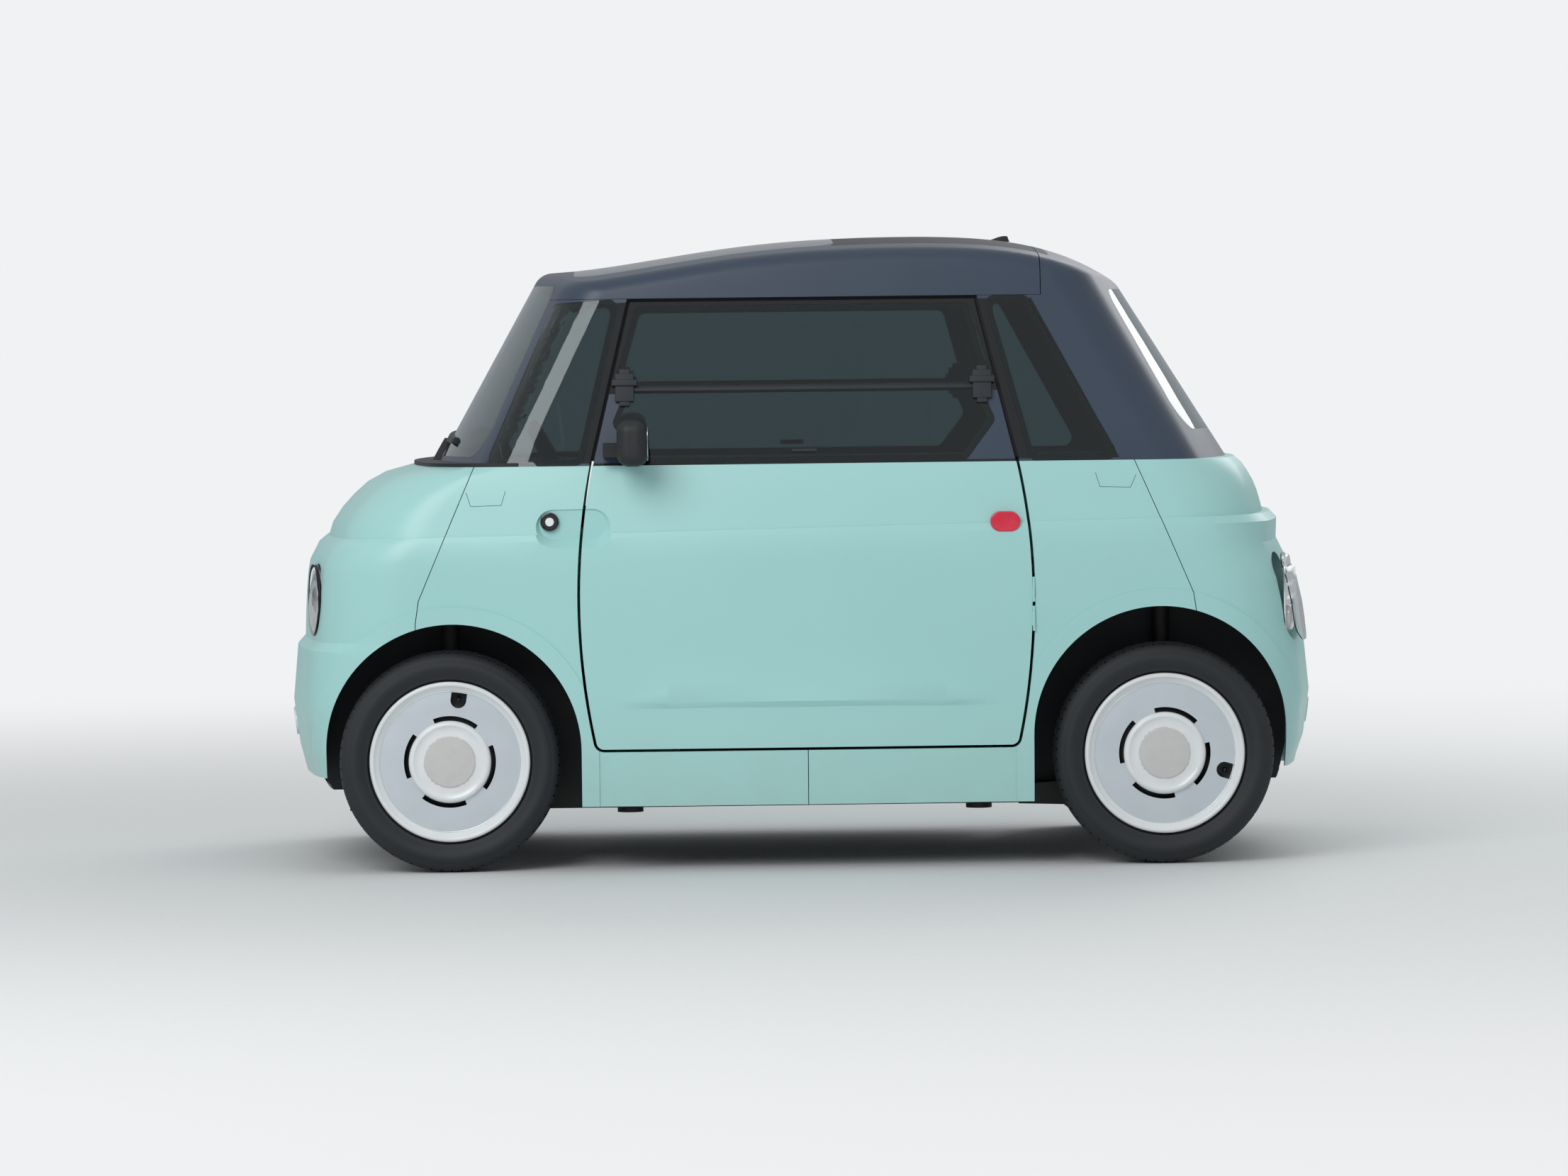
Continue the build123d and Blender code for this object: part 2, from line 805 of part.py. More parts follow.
member_width = 60.0
member_height = 41.0
member_x = (rail_front - 30, 480.0, 0.0, -480.0, rail_rear + 30)
with BuildPart() as cross_members:
    with Locations(*[(place, 0, rail_top - 3 - member_height / 2) for place in member_x]):
        Box(member_width, 2 * rail_y - rail_width, member_height)
keep("cross_members", cross_members)

# Traction battery under the right seat and drive unit between the front wheels, as plain blocks
battery_size = (560.0, 400.0, 165.0)
battery_top = floor_top + floor_rib + battery_size[2]
with BuildPart() as battery:
    with Locations((-150, -245, floor_top + floor_rib + battery_size[2] / 2)):
        Box(*battery_size)
    fillet(battery.edges().filter_by(Axis.Z), 20)
keep("battery", battery)

drive_size = (250.0, 340.0, 230.0)
shaft_radius = 12.0
shaft_end_y = 462.0
with BuildPart() as drive_unit:
    with Locations((axle_x, 0, floor_top + drive_size[2] / 2)):
        Box(*drive_size)
    fillet(drive_unit.edges().filter_by(Axis.Y), 30)
    with BuildSketch(Plane.XZ.offset(-shaft_end_y)):
        with Locations((axle_x, tyre_radius)):
            Circle(shaft_radius)
    extrude(amount=2 * shaft_end_y)
keep("drive_unit", drive_unit)

# Wheels: tyre, pressed steel wheel and full cover. Sketches run outboard and up from the wheel's centre.
rim_seat = 180.0
rim_half = 52.0
flange_radius = 195.0
spindle_radius = 18.0
spindle_fit = 0.08
hub_radius = 38.0
hub_inner = -14.0
hub_outer = 30.0
cover_radius = 194.0


def wheel_plane(end, side):
    """Plane through a wheel's axis: outboard, up."""
    hand = sides[side]
    return Plane(
        origin=(ends[end] * axle_x, hand * wheel_y, tyre_radius), x_dir=(0, hand, 0), z_dir=(hand, 0, 0)
    )


# Angle of the valve notch, seen from outboard: anticlockwise from the viewer's right
valve_angle = {"front": 81.5, "rear": -16.5}
slot_count = 4
slot_span = 59.0
slot_inner = 99.5
slot_outer = 111.0
# Round-ended notch for the valve, open to the groove inside the cover's bead
notch_radius = 150.0
notch_width = 38.0
notch_length = 21.0

for end in ends:
    for side, hand in sides.items():
        plane = wheel_plane(end, side)
        spin = Axis(plane.origin, plane.x_dir)
        half_tread = tyre_width / 2 - 21
        with BuildPart() as tyre:
            with BuildSketch(plane):
                with BuildLine():
                    ThreePointArc((-rim_half, 197), (-tyre_width / 2, 227), (-half_tread - 9, tyre_radius - 9))
                    Line((-half_tread - 9, tyre_radius - 9), (-half_tread, tyre_radius - 2))
                    ThreePointArc((-half_tread, tyre_radius - 2), (0, tyre_radius), (half_tread, tyre_radius - 2))
                    Line((half_tread, tyre_radius - 2), (half_tread + 9, tyre_radius - 9))
                    ThreePointArc((half_tread + 9, tyre_radius - 9), (tyre_width / 2, 227), (rim_half, 197))
                    Polyline((rim_half, 197), (rim_half, rim_seat), (-rim_half, rim_seat), (-rim_half, 197))
                make_face()
            revolve(axis=spin)
        keep(f"tyre_{end}_{side}", tyre)

        with BuildPart() as wheel:
            with BuildSketch(plane):
                with BuildLine():
                    Polyline(
                        (-rim_half - 3, flange_radius),
                        (-rim_half, flange_radius),
                        (-rim_half, rim_seat - 0.1),
                        (-22, rim_seat - 0.1),
                        (-16, rim_seat - 18),
                        (16, rim_seat - 18),
                        (22, rim_seat - 0.1),
                        (rim_half, rim_seat - 0.1),
                        (rim_half, flange_radius - 4),
                        (rim_half + 2, flange_radius - 4),
                        (rim_half + 2, rim_seat - 5),
                        (26, rim_seat - 6),
                        (20, rim_seat - 23),
                        (18, 140),
                        (30, 96),
                        (26, hub_radius),
                        (hub_outer, hub_radius),
                        (hub_outer, 0),
                        (hub_outer - 8, 0),
                        (hub_outer - 8, spindle_radius + spindle_fit),
                        (hub_inner, spindle_radius + spindle_fit),
                        (hub_inner, hub_radius),
                        (20, hub_radius),
                        (24, 96),
                        (12, 140),
                        (14, rim_seat - 23),
                        (-18, rim_seat - 23),
                        (-26, rim_seat - 6),
                        (-rim_half - 3, rim_seat - 5),
                        close=True,
                    )
                make_face()
            revolve(axis=spin)
        keep(f"wheel_{end}_{side}", wheel)

        with BuildPart() as disc:
            with BuildSketch(plane):
                with BuildLine():
                    ThreePointArc((60, cover_radius), (65.5, 188), (62, 182))
                    Polyline((62, 182), (54, 171), (54, 168))
                    ThreePointArc((54, 168), (56.5, 142), (57, 114))
                    Line((57, 114), (57, 99))
                    ThreePointArc((57, 99), (65, 95), (67, 88))
                    ThreePointArc((67, 88), (63.5, 79), (63, 69))
                    ThreePointArc((63, 69), (66.2, 42), (67.5, 16))
                    Polyline((67.5, 16), (67.5, 0), (62, 0), (58, 69), (58, 88), (53, 92), (53, 114))
                    ThreePointArc((53, 114), (52.5, 142), (50.5, 167))
                    Polyline((50.5, 167), (50.5, 172), (54.3, 174.6), (54.3, cover_radius), (60, cover_radius))
                make_face()
            revolve(axis=spin)
        with BuildPart() as cover:
            # Turned so that the disc's own seam is half way between two slots.
            add(disc.part.rotate(spin, valve_angle[end] - 45))
            face_plane = Plane(
                origin=plane.origin + plane.x_dir * 40, x_dir=(-hand, 0, 0), z_dir=(0, hand, 0)
            )
            half_span = slot_span / 2
            for index in range(slot_count):
                middle = valve_angle[end] + 360 / slot_count * index
                with BuildSketch(face_plane):
                    with BuildLine():
                        inner = CenterArc((0, 0), slot_inner, middle - half_span, slot_span)
                        outer = CenterArc((0, 0), slot_outer, middle - half_span, slot_span)
                        Line(inner @ 0, outer @ 0)
                        Line(inner @ 1, outer @ 1)
                    make_face()
                extrude(amount=60, mode=Mode.SUBTRACT)
            with BuildSketch(face_plane):
                with PolarLocations(notch_radius, 1, start_angle=valve_angle[end]):
                    Circle(notch_width / 2)
                    with Locations((notch_length / 2, 0)):
                        Rectangle(notch_length, notch_width)
            extrude(amount=60, mode=Mode.SUBTRACT)
        keep(f"cover_{end}_{side}", cover)

# Front knuckles: each turns about a leaning axis through its ball joint and strut top
ball_y = 526.0
ball_height = 165.0
strut_y = 441.0
strut_height = 640.0
strut_top = 592.0
strut_radius = 23.0
carrier_radius = 27.0
ball_radius = 16.0
spindle_reach = 20.0
drum_radius = 98.0

for side, hand in sides.items():
    lean = Vector(0, hand * (strut_y - ball_y), strut_height - ball_height)
    ball = Vector(axle_x, hand * ball_y, ball_height)

    def on_axis(height):
        return ball + lean * ((height - ball_height) / (strut_height - ball_height))

    with BuildPart() as knuckle:
        for low, high, radius in ((185, 345, carrier_radius), (345, strut_top, strut_radius), (165, 185, 10)):
            with BuildSketch(Plane(origin=on_axis(low), z_dir=lean)):
                Circle(radius)
            extrude(amount=(on_axis(high) - on_axis(low)).length)
        with Locations(ball):
            Sphere(ball_radius)
        with BuildSketch(Plane(origin=on_axis(tyre_radius), z_dir=(0, hand, 0))):
            Circle(spindle_radius)
        extrude(amount=wheel_y + spindle_reach - abs(on_axis(tyre_radius).Y))
        drum_y = wheel_y + hub_inner - 4
        with BuildSketch(Plane(origin=(axle_x, hand * (drum_y - 34), tyre_radius), z_dir=(0, hand, 0))):
            Circle(drum_radius)
        extrude(amount=34)
    keep(f"knuckle_{side}", knuckle)

# Lower arms and strut tops of the front suspension
arm_thickness = 20.0
arm_top = ball_height - ball_radius - seat_gap
strut_plate_gap = 4.4
strut_plate_radius = 46.0
plate_reach = arch_shift + strut_plate_radius
liner_roof = math.sqrt((well_radius - liner_wall)**2 - plate_reach**2)
strut_plate_top = arch_height["front"] + liner_roof - seat_gap
with BuildPart() as front_suspension:
    for hand in sides.values():
        arm_outline = [
            (axle_x + 110, hand * (rail_y + rail_width / 2 + seat_gap)),
            (axle_x + 60, hand * (rail_y + rail_width / 2 + seat_gap)),
            (axle_x, hand * (rail_y + 95)),
            (axle_x - 60, hand * (rail_y + rail_width / 2 + seat_gap)),
            (axle_x - 110, hand * (rail_y + rail_width / 2 + seat_gap)),
            (axle_x - 26, hand * 450),
            (axle_x - 22, hand * 540),
            (axle_x + 22, hand * 540),
            (axle_x + 26, hand * 450),
        ]
        with BuildSketch(Plane.XY.offset(arm_top - arm_thickness)):
            add(polygon_sketch(arm_outline))
        extrude(amount=arm_thickness)
    for hand in sides.values():
        with BuildSketch(Plane.XY.offset(strut_top + strut_plate_gap)):
            with Locations((axle_x, hand * (strut_y + 8))):
                Circle(strut_plate_radius)
        extrude(amount=strut_plate_top - strut_top - strut_plate_gap)
keep("front_suspension", front_suspension)

# Twist-beam rear axle with trailing arms, drums and dampers
beam_x = -735.0
beam_height = 148.0
beam_radius = 24.0
arm_y = 385.0
arm_width = 36.0
pivot_fit = 0.3
trailing_outline = [(-523, 133), (-523, 180), (-700, 192), (-842, 296), (-890, 296), (-890, 238), (-750, 126)]
with BuildPart() as rear_axle:
    with BuildSketch(Plane.XZ.offset(-arm_y)):
        with Locations((beam_x, beam_height)):
            Circle(beam_radius)
    extrude(amount=2 * arm_y)
    for hand in sides.values():
        near, far = sorted((hand * (arm_y - arm_width / 2), hand * (arm_y + arm_width / 2)))
        add(side_block(polygon_sketch(trailing_outline), near, far))
        with BuildSketch(Plane(origin=(-axle_x, hand * arm_y, tyre_radius), z_dir=(0, hand, 0))):
            Circle(spindle_radius)
        extrude(amount=wheel_y + spindle_reach - arm_y)
        drum_y = wheel_y + hub_inner - 4
        with BuildSketch(Plane(origin=(-axle_x, hand * (drum_y - 34), tyre_radius), z_dir=(0, hand, 0))):
            Circle(drum_radius)
        extrude(amount=34)
        with Locations((-axle_x - 12, hand * (arm_y + 6), 262)):
            Cylinder(22, 372, align=(Align.CENTER, Align.CENTER, Align.MIN))
    for hand in sides.values():
        with BuildSketch(Plane.XZ.offset(-half_width)):
            with Locations((pivot_x, pivot_height)):
                Circle(pivot_radius + pivot_fit)
        extrude(amount=2 * half_width, mode=Mode.SUBTRACT)
keep("rear_axle", rear_axle)

# Dashboard, steering column and steering wheel
dash_outline = [
    (660, 735),
    (640, 800),
    (650, 880),
    (690, 925),
    (760, 950),
    (862, 958),
    (880, 900),
    (800, 700),
]
dash_radius = 14.0
with BuildPart() as dashboard:
    add(side_block(polygon_sketch(dash_outline, dash_radius), -beyond, beyond))
    add(hull_fit, mode=Mode.INTERSECT)
keep("dashboard", dashboard)

rim_centre = Vector(575, 300, 920)
column_lean = 28.0
rim_radius = 172.0
grip_radius = 14.0
column_axis = Vector(-math.cos(math.radians(column_lean)), 0, math.sin(math.radians(column_lean)))
rim_plane = Plane(origin=rim_centre, x_dir=(0, 1, 0), z_dir=column_axis)
shaft_fit = 0.05
dash_fit = 0.4
with BuildPart() as steering_column:
    with BuildSketch(rim_plane.offset(-62)):
        Circle(34)
    extrude(amount=-60)
    with BuildSketch(rim_plane.offset(-62)):
        Circle(10)
    extrude(amount=34)
    dash_room = polygon_sketch(dash_outline, dash_radius, dash_fit)
    add(side_block(dash_room, -beyond, beyond), mode=Mode.SUBTRACT)
    solids = steering_column.solids().sort_by(SortBy.VOLUME)
    for scrap in solids[:-1]:
        add(scrap, mode=Mode.SUBTRACT)
keep("steering_column", steering_column)

with BuildPart() as steering_wheel:
    with BuildSketch(Plane(origin=rim_centre, x_dir=(0, 1, 0), z_dir=rim_plane.y_dir)):
        with Locations((rim_radius, 0)):
            Circle(grip_radius)
    revolve(axis=Axis(rim_centre, column_axis))
    with BuildSketch(rim_plane.offset(-50)):
        Circle(52)
    extrude(amount=34)
    with BuildSketch(rim_plane.offset(-22)):
        with Locations((rim_radius / 2, 0), (-rim_radius / 2, 0)):
            Rectangle(rim_radius, 34)
        with Locations((0, -rim_radius / 2)):
            Rectangle(36, rim_radius)
    extrude(amount=14)
    with BuildSketch(rim_plane.offset(-51)):
        Circle(10 + shaft_fit)
    extrude(amount=24, mode=Mode.SUBTRACT)
keep("steering_wheel", steering_wheel)

# Seats: moulded shells on legs, with loose pads. The right seat stands further back.
seat_y = 262.0
seat_width = 420.0
seat_x = {"left": 120.0, "right": -40.0}
seat_profile = [
    (250, 430),
    (230, 470),
    (-180, 430),
    (-300, 900),
    (-330, 900),
    (-215, 395),
    (-190, 385),
]
leg_profile = [
    (180, floor_top + seat_gap), (200, 410), (-150, 395), (-170, floor_top + seat_gap)
]
foot_profile = [
    (120, battery_top + seat_gap), (120, 425), (-150, 400), (-150, battery_top + seat_gap)
]
leg_width = 20.0
pad_gap = 0.4
pad_inset = 8.0


def on_shell_seat(x):
    """Height of the pad's underside over the shell's seat."""
    (front_x, front_z), (back_x, back_z) = seat_profile[1], seat_profile[2]
    return back_z + (x - back_x) * (front_z - back_z) / (front_x - back_x) + pad_gap


def on_shell_back(z):
    """Place of the pad's rear face on the shell's back."""
    (low_x, low_z), (high_x, high_z) = seat_profile[2], seat_profile[3]
    return low_x + (z - low_z) * (high_x - low_x) / (high_z - low_z) + pad_gap


cushion_profile = [
    (248, on_shell_seat(248)), (238, 540), (-60, 520), (-105, 500), (-140, on_shell_seat(-140))
]
back_profile = [
    (-146, 505),
    (-110, 530),
    (-196, 940),
    (-225, 985),
    (-262, 985),
    (on_shell_back(896), 896),
    (on_shell_back(476), 476),
]
with BuildPart() as seat_shells:
    for side, hand in sides.items():
        near, far = sorted((hand * (seat_y - seat_width / 2), hand * (seat_y + seat_width / 2)))
        shift = Vector(seat_x[side], 0, 0)
        add(side_block(polygon_sketch(seat_profile), near, far).moved(Location(shift)))
        support = leg_profile if side == "left" else foot_profile
        for leg in (near, far - leg_width):
            add(side_block(polygon_sketch(support), leg, leg + leg_width).moved(Location(shift)))
keep("seat_shells", seat_shells)
with BuildPart() as seat_pads:
    for side, hand in sides.items():
        pad_half = seat_width / 2 - pad_inset
        near, far = sorted((hand * (seat_y - pad_half), hand * (seat_y + pad_half)))
        shift = Location((seat_x[side], 0, 0))
        for profile in (cushion_profile, back_profile):
            add(side_block(polygon_sketch(profile, 12), near, far).moved(shift))
keep("seat_pads", seat_pads)

# Shelf behind the seats
with BuildPart() as rear_shelf:
    add(side_block(polygon_sketch([(-560, 690), (-560, 702), (-1200, 702), (-1200, 690)]), -beyond, beyond))
    add(hull_fit, mode=Mode.INTERSECT)
keep("rear_shelf", rear_shelf)

os.makedirs("parts", exist_ok=True)
for name, piece in parts.items():
    export_step(piece, f"parts/{name}.step")
print(len(parts), "pieces")
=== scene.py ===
import bpy
import bmesh
import json
import math
from mathutils import Matrix, Vector
from mathutils.bvhtree import BVHTree


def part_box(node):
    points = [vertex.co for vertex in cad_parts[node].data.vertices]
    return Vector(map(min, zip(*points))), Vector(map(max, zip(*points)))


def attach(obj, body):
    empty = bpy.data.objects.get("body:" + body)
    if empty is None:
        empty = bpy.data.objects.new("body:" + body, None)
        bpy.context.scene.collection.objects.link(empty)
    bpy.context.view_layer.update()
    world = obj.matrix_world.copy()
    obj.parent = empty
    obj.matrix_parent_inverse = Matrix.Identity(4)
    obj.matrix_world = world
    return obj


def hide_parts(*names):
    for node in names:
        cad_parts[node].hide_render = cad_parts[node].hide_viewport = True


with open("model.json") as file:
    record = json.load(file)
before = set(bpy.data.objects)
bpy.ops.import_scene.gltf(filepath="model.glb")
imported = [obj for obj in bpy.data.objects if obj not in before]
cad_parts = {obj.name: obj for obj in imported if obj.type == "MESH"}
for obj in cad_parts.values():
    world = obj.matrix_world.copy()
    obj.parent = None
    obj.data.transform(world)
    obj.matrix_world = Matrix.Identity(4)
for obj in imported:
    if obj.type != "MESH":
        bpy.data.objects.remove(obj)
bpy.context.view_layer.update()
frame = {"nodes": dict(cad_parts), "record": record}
scene = bpy.context.scene

# The camera stands a little lower than the roof, 16.5 m to the left of the car and a little ahead of
# its middle, with a long lens, so the side is seen almost square on.
photo_size = (2212, 1659)
horizon_row = 474
foot_column = 900
camera_place = Vector((0.405, 16.5, 1.286))
pixels_per_radian = 9278.0
camera_roll = -0.65

camera_data = bpy.data.cameras.new("camera")
camera_data.sensor_width = 36.0
camera_data.lens = camera_data.sensor_width * pixels_per_radian / photo_size[0]
camera_data.clip_end = 100.0
camera = bpy.data.objects.new("camera", camera_data)
turn_right = math.atan((photo_size[0] / 2 - foot_column) / pixels_per_radian)
tilt_down = math.atan((photo_size[1] / 2 - horizon_row) / pixels_per_radian)
look = Matrix.Rotation(math.radians(180) - turn_right, 3, "Z") @ Vector((0, 1, -math.tan(tilt_down)))
camera.rotation_mode = "QUATERNION"
camera.rotation_quaternion = look.to_track_quat("-Z", "Y")
camera.rotation_quaternion @= Matrix.Rotation(math.radians(camera_roll), 3, "Z").to_quaternion()
camera.location = camera_place
scene.collection.objects.link(camera)
scene.camera = camera
scene.view_settings.view_transform = "Standard"


# Studio: a soft sky that is brighter overhead, one broad lamp from the camera's side and a weaker
# one from the far side. What the lens sees behind the car is a plain pale backdrop.
def linear(hex_colour):
    """An sRGB hex colour as linear red, green, blue, alpha."""
    parts = [int(hex_colour[i:i + 2], 16) / 255 for i in (1, 3, 5)]
    return [c / 12.92 if c <= 0.04045 else ((c + 0.055) / 1.055) ** 2.4 for c in parts] + [1.0]


def add(tree, kind, settings=None, **links):
    """Adds a node. Settings are attributes; links name a socket (by name or number) and what goes in."""
    node = tree.nodes.new(kind)
    for key, value in (settings or {}).items():
        setattr(node, key, value)
    for key, value in links.items():
        socket = node.inputs[int(key[1:])] if key[1:].isdigit() else node.inputs[key.replace("_", " ")]
        if isinstance(value, bpy.types.NodeSocket):
            tree.links.new(value, socket)
        else:
            socket.default_value = value
    return node


world = bpy.data.worlds.new("studio")
scene.world = world
world.use_nodes = True
sky = world.node_tree
sky.nodes.clear()
sky_place = add(sky, "ShaderNodeTexCoord")
sky_axes = add(sky, "ShaderNodeSeparateXYZ", n0=sky_place.outputs["Generated"])
sky_height = add(sky, "ShaderNodeMapRange", Value=sky_axes.outputs["Z"], From_Min=-1.0, From_Max=1.0)
sky_ramp = add(sky, "ShaderNodeValToRGB", Fac=sky_height.outputs[0])
sky_ramp.color_ramp.elements[0].position = 0.42
sky_ramp.color_ramp.elements[0].color = linear("#7C8184")
sky_ramp.color_ramp.elements[1].position = 0.78
sky_ramp.color_ramp.elements[1].color = linear("#FFFFFF")
sky_middle = sky_ramp.color_ramp.elements.new(0.53)
sky_middle.color = linear("#CBD3DA")
sky_light = add(sky, "ShaderNodeBackground", Color=sky_ramp.outputs["Color"], Strength=0.62)
sky_seen = add(sky, "ShaderNodeBackground", Color=linear("#F1F2F3"), Strength=1.0)
sky_path = add(sky, "ShaderNodeLightPath")
sky_mix = add(sky, "ShaderNodeMixShader", n0=sky_path.outputs["Is Camera Ray"],
              n1=sky_light.outputs[0], n2=sky_seen.outputs[0])
add(sky, "ShaderNodeOutputWorld", Surface=sky_mix.outputs[0])

for name, place, aim, size, power in (
    ("key_lamp", (3.2, 6.5, 5.0), (0.0, 0.0, 0.6), 5.0, 260.0),
    ("far_lamp", (-3.5, -5.5, 4.5), (0.0, 0.0, 0.6), 5.0, 130.0),
):
    lamp_data = bpy.data.lights.new(name, "AREA")
    lamp_data.shape = "DISK"
    lamp_data.size = size
    lamp_data.energy = power
    lamp = bpy.data.objects.new(name, lamp_data)
    lamp.location = place
    lamp.rotation_mode = "QUATERNION"
    lamp.rotation_quaternion = (Vector(aim) - Vector(place)).to_track_quat("-Z", "Y")
    scene.collection.objects.link(lamp)


# Floor: a plain pale painted sheet, faintly mottled, that the car throws its shadow on. Far from the
# car it fades into the backdrop, as a seamless studio sweep does.
def new_material(name):
    """A material with an empty node tree."""
    material = bpy.data.materials.new(name)
    material.use_nodes = True
    material.node_tree.nodes.clear()
    return material, material.node_tree


floor = bmesh.new()
bmesh.ops.create_grid(floor, x_segments=1, y_segments=1, size=30.0)
floor_data = bpy.data.meshes.new("floor")
floor.to_mesh(floor_data)
floor.free()
floor_sheet = bpy.data.objects.new("floor", floor_data)
scene.collection.objects.link(floor_sheet)
floor_paint, tree = new_material("painted_floor")
floor_place = add(tree, "ShaderNodeTexCoord")
floor_grain = add(tree, "ShaderNodeTexNoise", Vector=floor_place.outputs["Object"], Scale=40.0, Detail=4.0)
floor_tint = add(tree, "ShaderNodeMix", {"data_type": "RGBA"}, n0=floor_grain.outputs["Fac"],
                 n6=linear("#D6D9DA"), n7=linear("#DEE1E2"))
floor_bump = add(tree, "ShaderNodeBump", Strength=0.05, Distance=0.002, Height=floor_grain.outputs["Fac"])
floor_shade = add(tree, "ShaderNodeBsdfPrincipled", Base_Color=floor_tint.outputs[2], Roughness=0.7,
                  Normal=floor_bump.outputs[0])
floor_far = add(tree, "ShaderNodeVectorMath", {"operation": "LENGTH"}, n0=floor_place.outputs["Object"])
floor_fade = add(tree, "ShaderNodeMapRange", {"interpolation_type": "SMOOTHSTEP"},
                 Value=floor_far.outputs["Value"], From_Min=1.8, From_Max=8.0)
floor_path = add(tree, "ShaderNodeLightPath")
floor_seen = add(tree, "ShaderNodeMath", {"operation": "MULTIPLY"}, n0=floor_fade.outputs[0],
                 n1=floor_path.outputs["Is Camera Ray"])
floor_haze = add(tree, "ShaderNodeEmission", Color=linear("#F1F2F3"), Strength=1.0)
floor_mix = add(tree, "ShaderNodeMixShader", n0=floor_seen.outputs[0], n1=floor_shade.outputs[0],
                n2=floor_haze.outputs[0])
add(tree, "ShaderNodeOutputMaterial", Surface=floor_mix.outputs[0])
floor_data.materials.append(floor_paint)

# Body panels: thick shells of polypropylene, rotomoulded, coloured right through and left with a soft
# satin face. They are bolted to the frame and meet in narrow gaps. Towards the ground their colour is
# painted duller and greyer in patches, as painted shade low on the body.
smooth_angle = math.radians(24)


def body_of(node):
    """The body that a frame node moves with."""
    bodies = frame["record"]["behaviour"]["bodies"]
    return next(body for body, members in bodies.items() if node in members)


def node_shape(node):
    """An editable copy of a frame node with its doubled points merged."""
    shape = bmesh.new()
    shape.from_mesh(frame["nodes"][node].data)
    bmesh.ops.remove_doubles(shape, verts=shape.verts, dist=1e-5)
    for face in shape.faces:
        face.material_index = 0
    return shape


def sealed(shape, distance=1e-5):
    """Merges doubled points and turns every face outwards."""
    bmesh.ops.remove_doubles(shape, verts=shape.verts, dist=distance)
    bmesh.ops.recalc_face_normals(shape, faces=shape.faces)


def make_piece(name, shape, body, slot, *materials):
    """Turns an edited shape into a smooth-shaded piece that rides on a body."""
    for face in shape.faces:
        face.smooth = True
    for edge in shape.edges:
        edge.smooth = len(edge.link_faces) == 2 and edge.calc_face_angle(0.0) < smooth_angle
    mesh = bpy.data.meshes.new(name)
    shape.to_mesh(mesh)
    shape.free()
    for material in materials:
        mesh.materials.append(material)
    piece = bpy.data.objects.new(name, mesh)
    scene.collection.objects.link(piece)
    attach(piece, body)
    return piece


def stand_in(node, shape, slot, *materials):
    """Puts an edited copy in the place of the frame node that it was made from."""
    piece = make_piece(node + "_finish", shape, body_of(node), slot, *materials)
    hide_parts(node)
    return piece


mint_plastic, tree = new_material("rotomoulded_polypropylene")
mint_place = add(tree, "ShaderNodeTexCoord")
mint_cloud = add(tree, "ShaderNodeTexNoise", Vector=mint_place.outputs["Object"], Scale=1.6, Detail=2.0)
mint_tint = add(tree, "ShaderNodeMix", {"data_type": "RGBA"}, n0=mint_cloud.outputs["Fac"],
                n6=linear("#A0D2CF"), n7=linear("#AADBD8"))
# Painted shade: below 0.42 m the colour is mixed with a duller grey-green, more so towards the ground and in
# noisy patches.
mint_axes = add(tree, "ShaderNodeSeparateXYZ", n0=mint_place.outputs["Object"])
low_shade_cloud = add(tree, "ShaderNodeTexNoise", Vector=mint_place.outputs["Object"], Scale=9.0, Detail=5.0)
low_shade_ramp = add(tree, "ShaderNodeMapRange", Value=mint_axes.outputs["Z"], From_Min=0.42, From_Max=0.15,
               To_Min=0.0, To_Max=0.5)
low_shade_share = add(tree, "ShaderNodeMath", {"operation": "MULTIPLY"}, n0=low_shade_ramp.outputs[0],
                 n1=low_shade_cloud.outputs["Fac"])
mint_with_low_shade = add(tree, "ShaderNodeMix", {"data_type": "RGBA"}, n0=low_shade_share.outputs[0],
                n6=mint_tint.outputs[2], n7=linear("#A9BDB2"))
mint_grain = add(tree, "ShaderNodeTexNoise", Vector=mint_place.outputs["Object"], Scale=420.0, Detail=2.0)
mint_bump = add(tree, "ShaderNodeBump", Strength=0.08, Distance=0.0004, Height=mint_grain.outputs["Fac"])
mint_rough = add(tree, "ShaderNodeMapRange", Value=mint_cloud.outputs["Fac"], To_Min=0.3, To_Max=0.4)
mint_shade = add(tree, "ShaderNodeBsdfPrincipled", Base_Color=mint_with_low_shade.outputs[2],
                 Roughness=mint_rough.outputs[0], Normal=mint_bump.outputs[0], IOR=1.49)
add(tree, "ShaderNodeOutputMaterial", Surface=mint_shade.outputs[0])
panel_nodes = [f"corner_panel_{end}_{side}" for end in ("front", "rear") for side in ("left", "right")]
for node in panel_nodes + ["front_panel", "rear_panel", "door_left", "door_right"]:
    stand_in(node, node_shape(node), "mint", mint_plastic)

# Trim tabs: small covers on the shoulder over the panel bolts, which show only as a fine dark line on
# three sides. Each line is a thin strip of darkened body colour laid on the skin: painted shade for the
# shadow in the groove round the tab.
tab_line = 0.0011
tab_outlines = {
    "front": [(0.817, 0.918), (0.806, 0.884), (0.732, 0.886), (0.722, 0.92)],
    "rear": [(-0.702, 0.948), (-0.712, 0.914), (-0.786, 0.912), (-0.8, 0.942)],
}
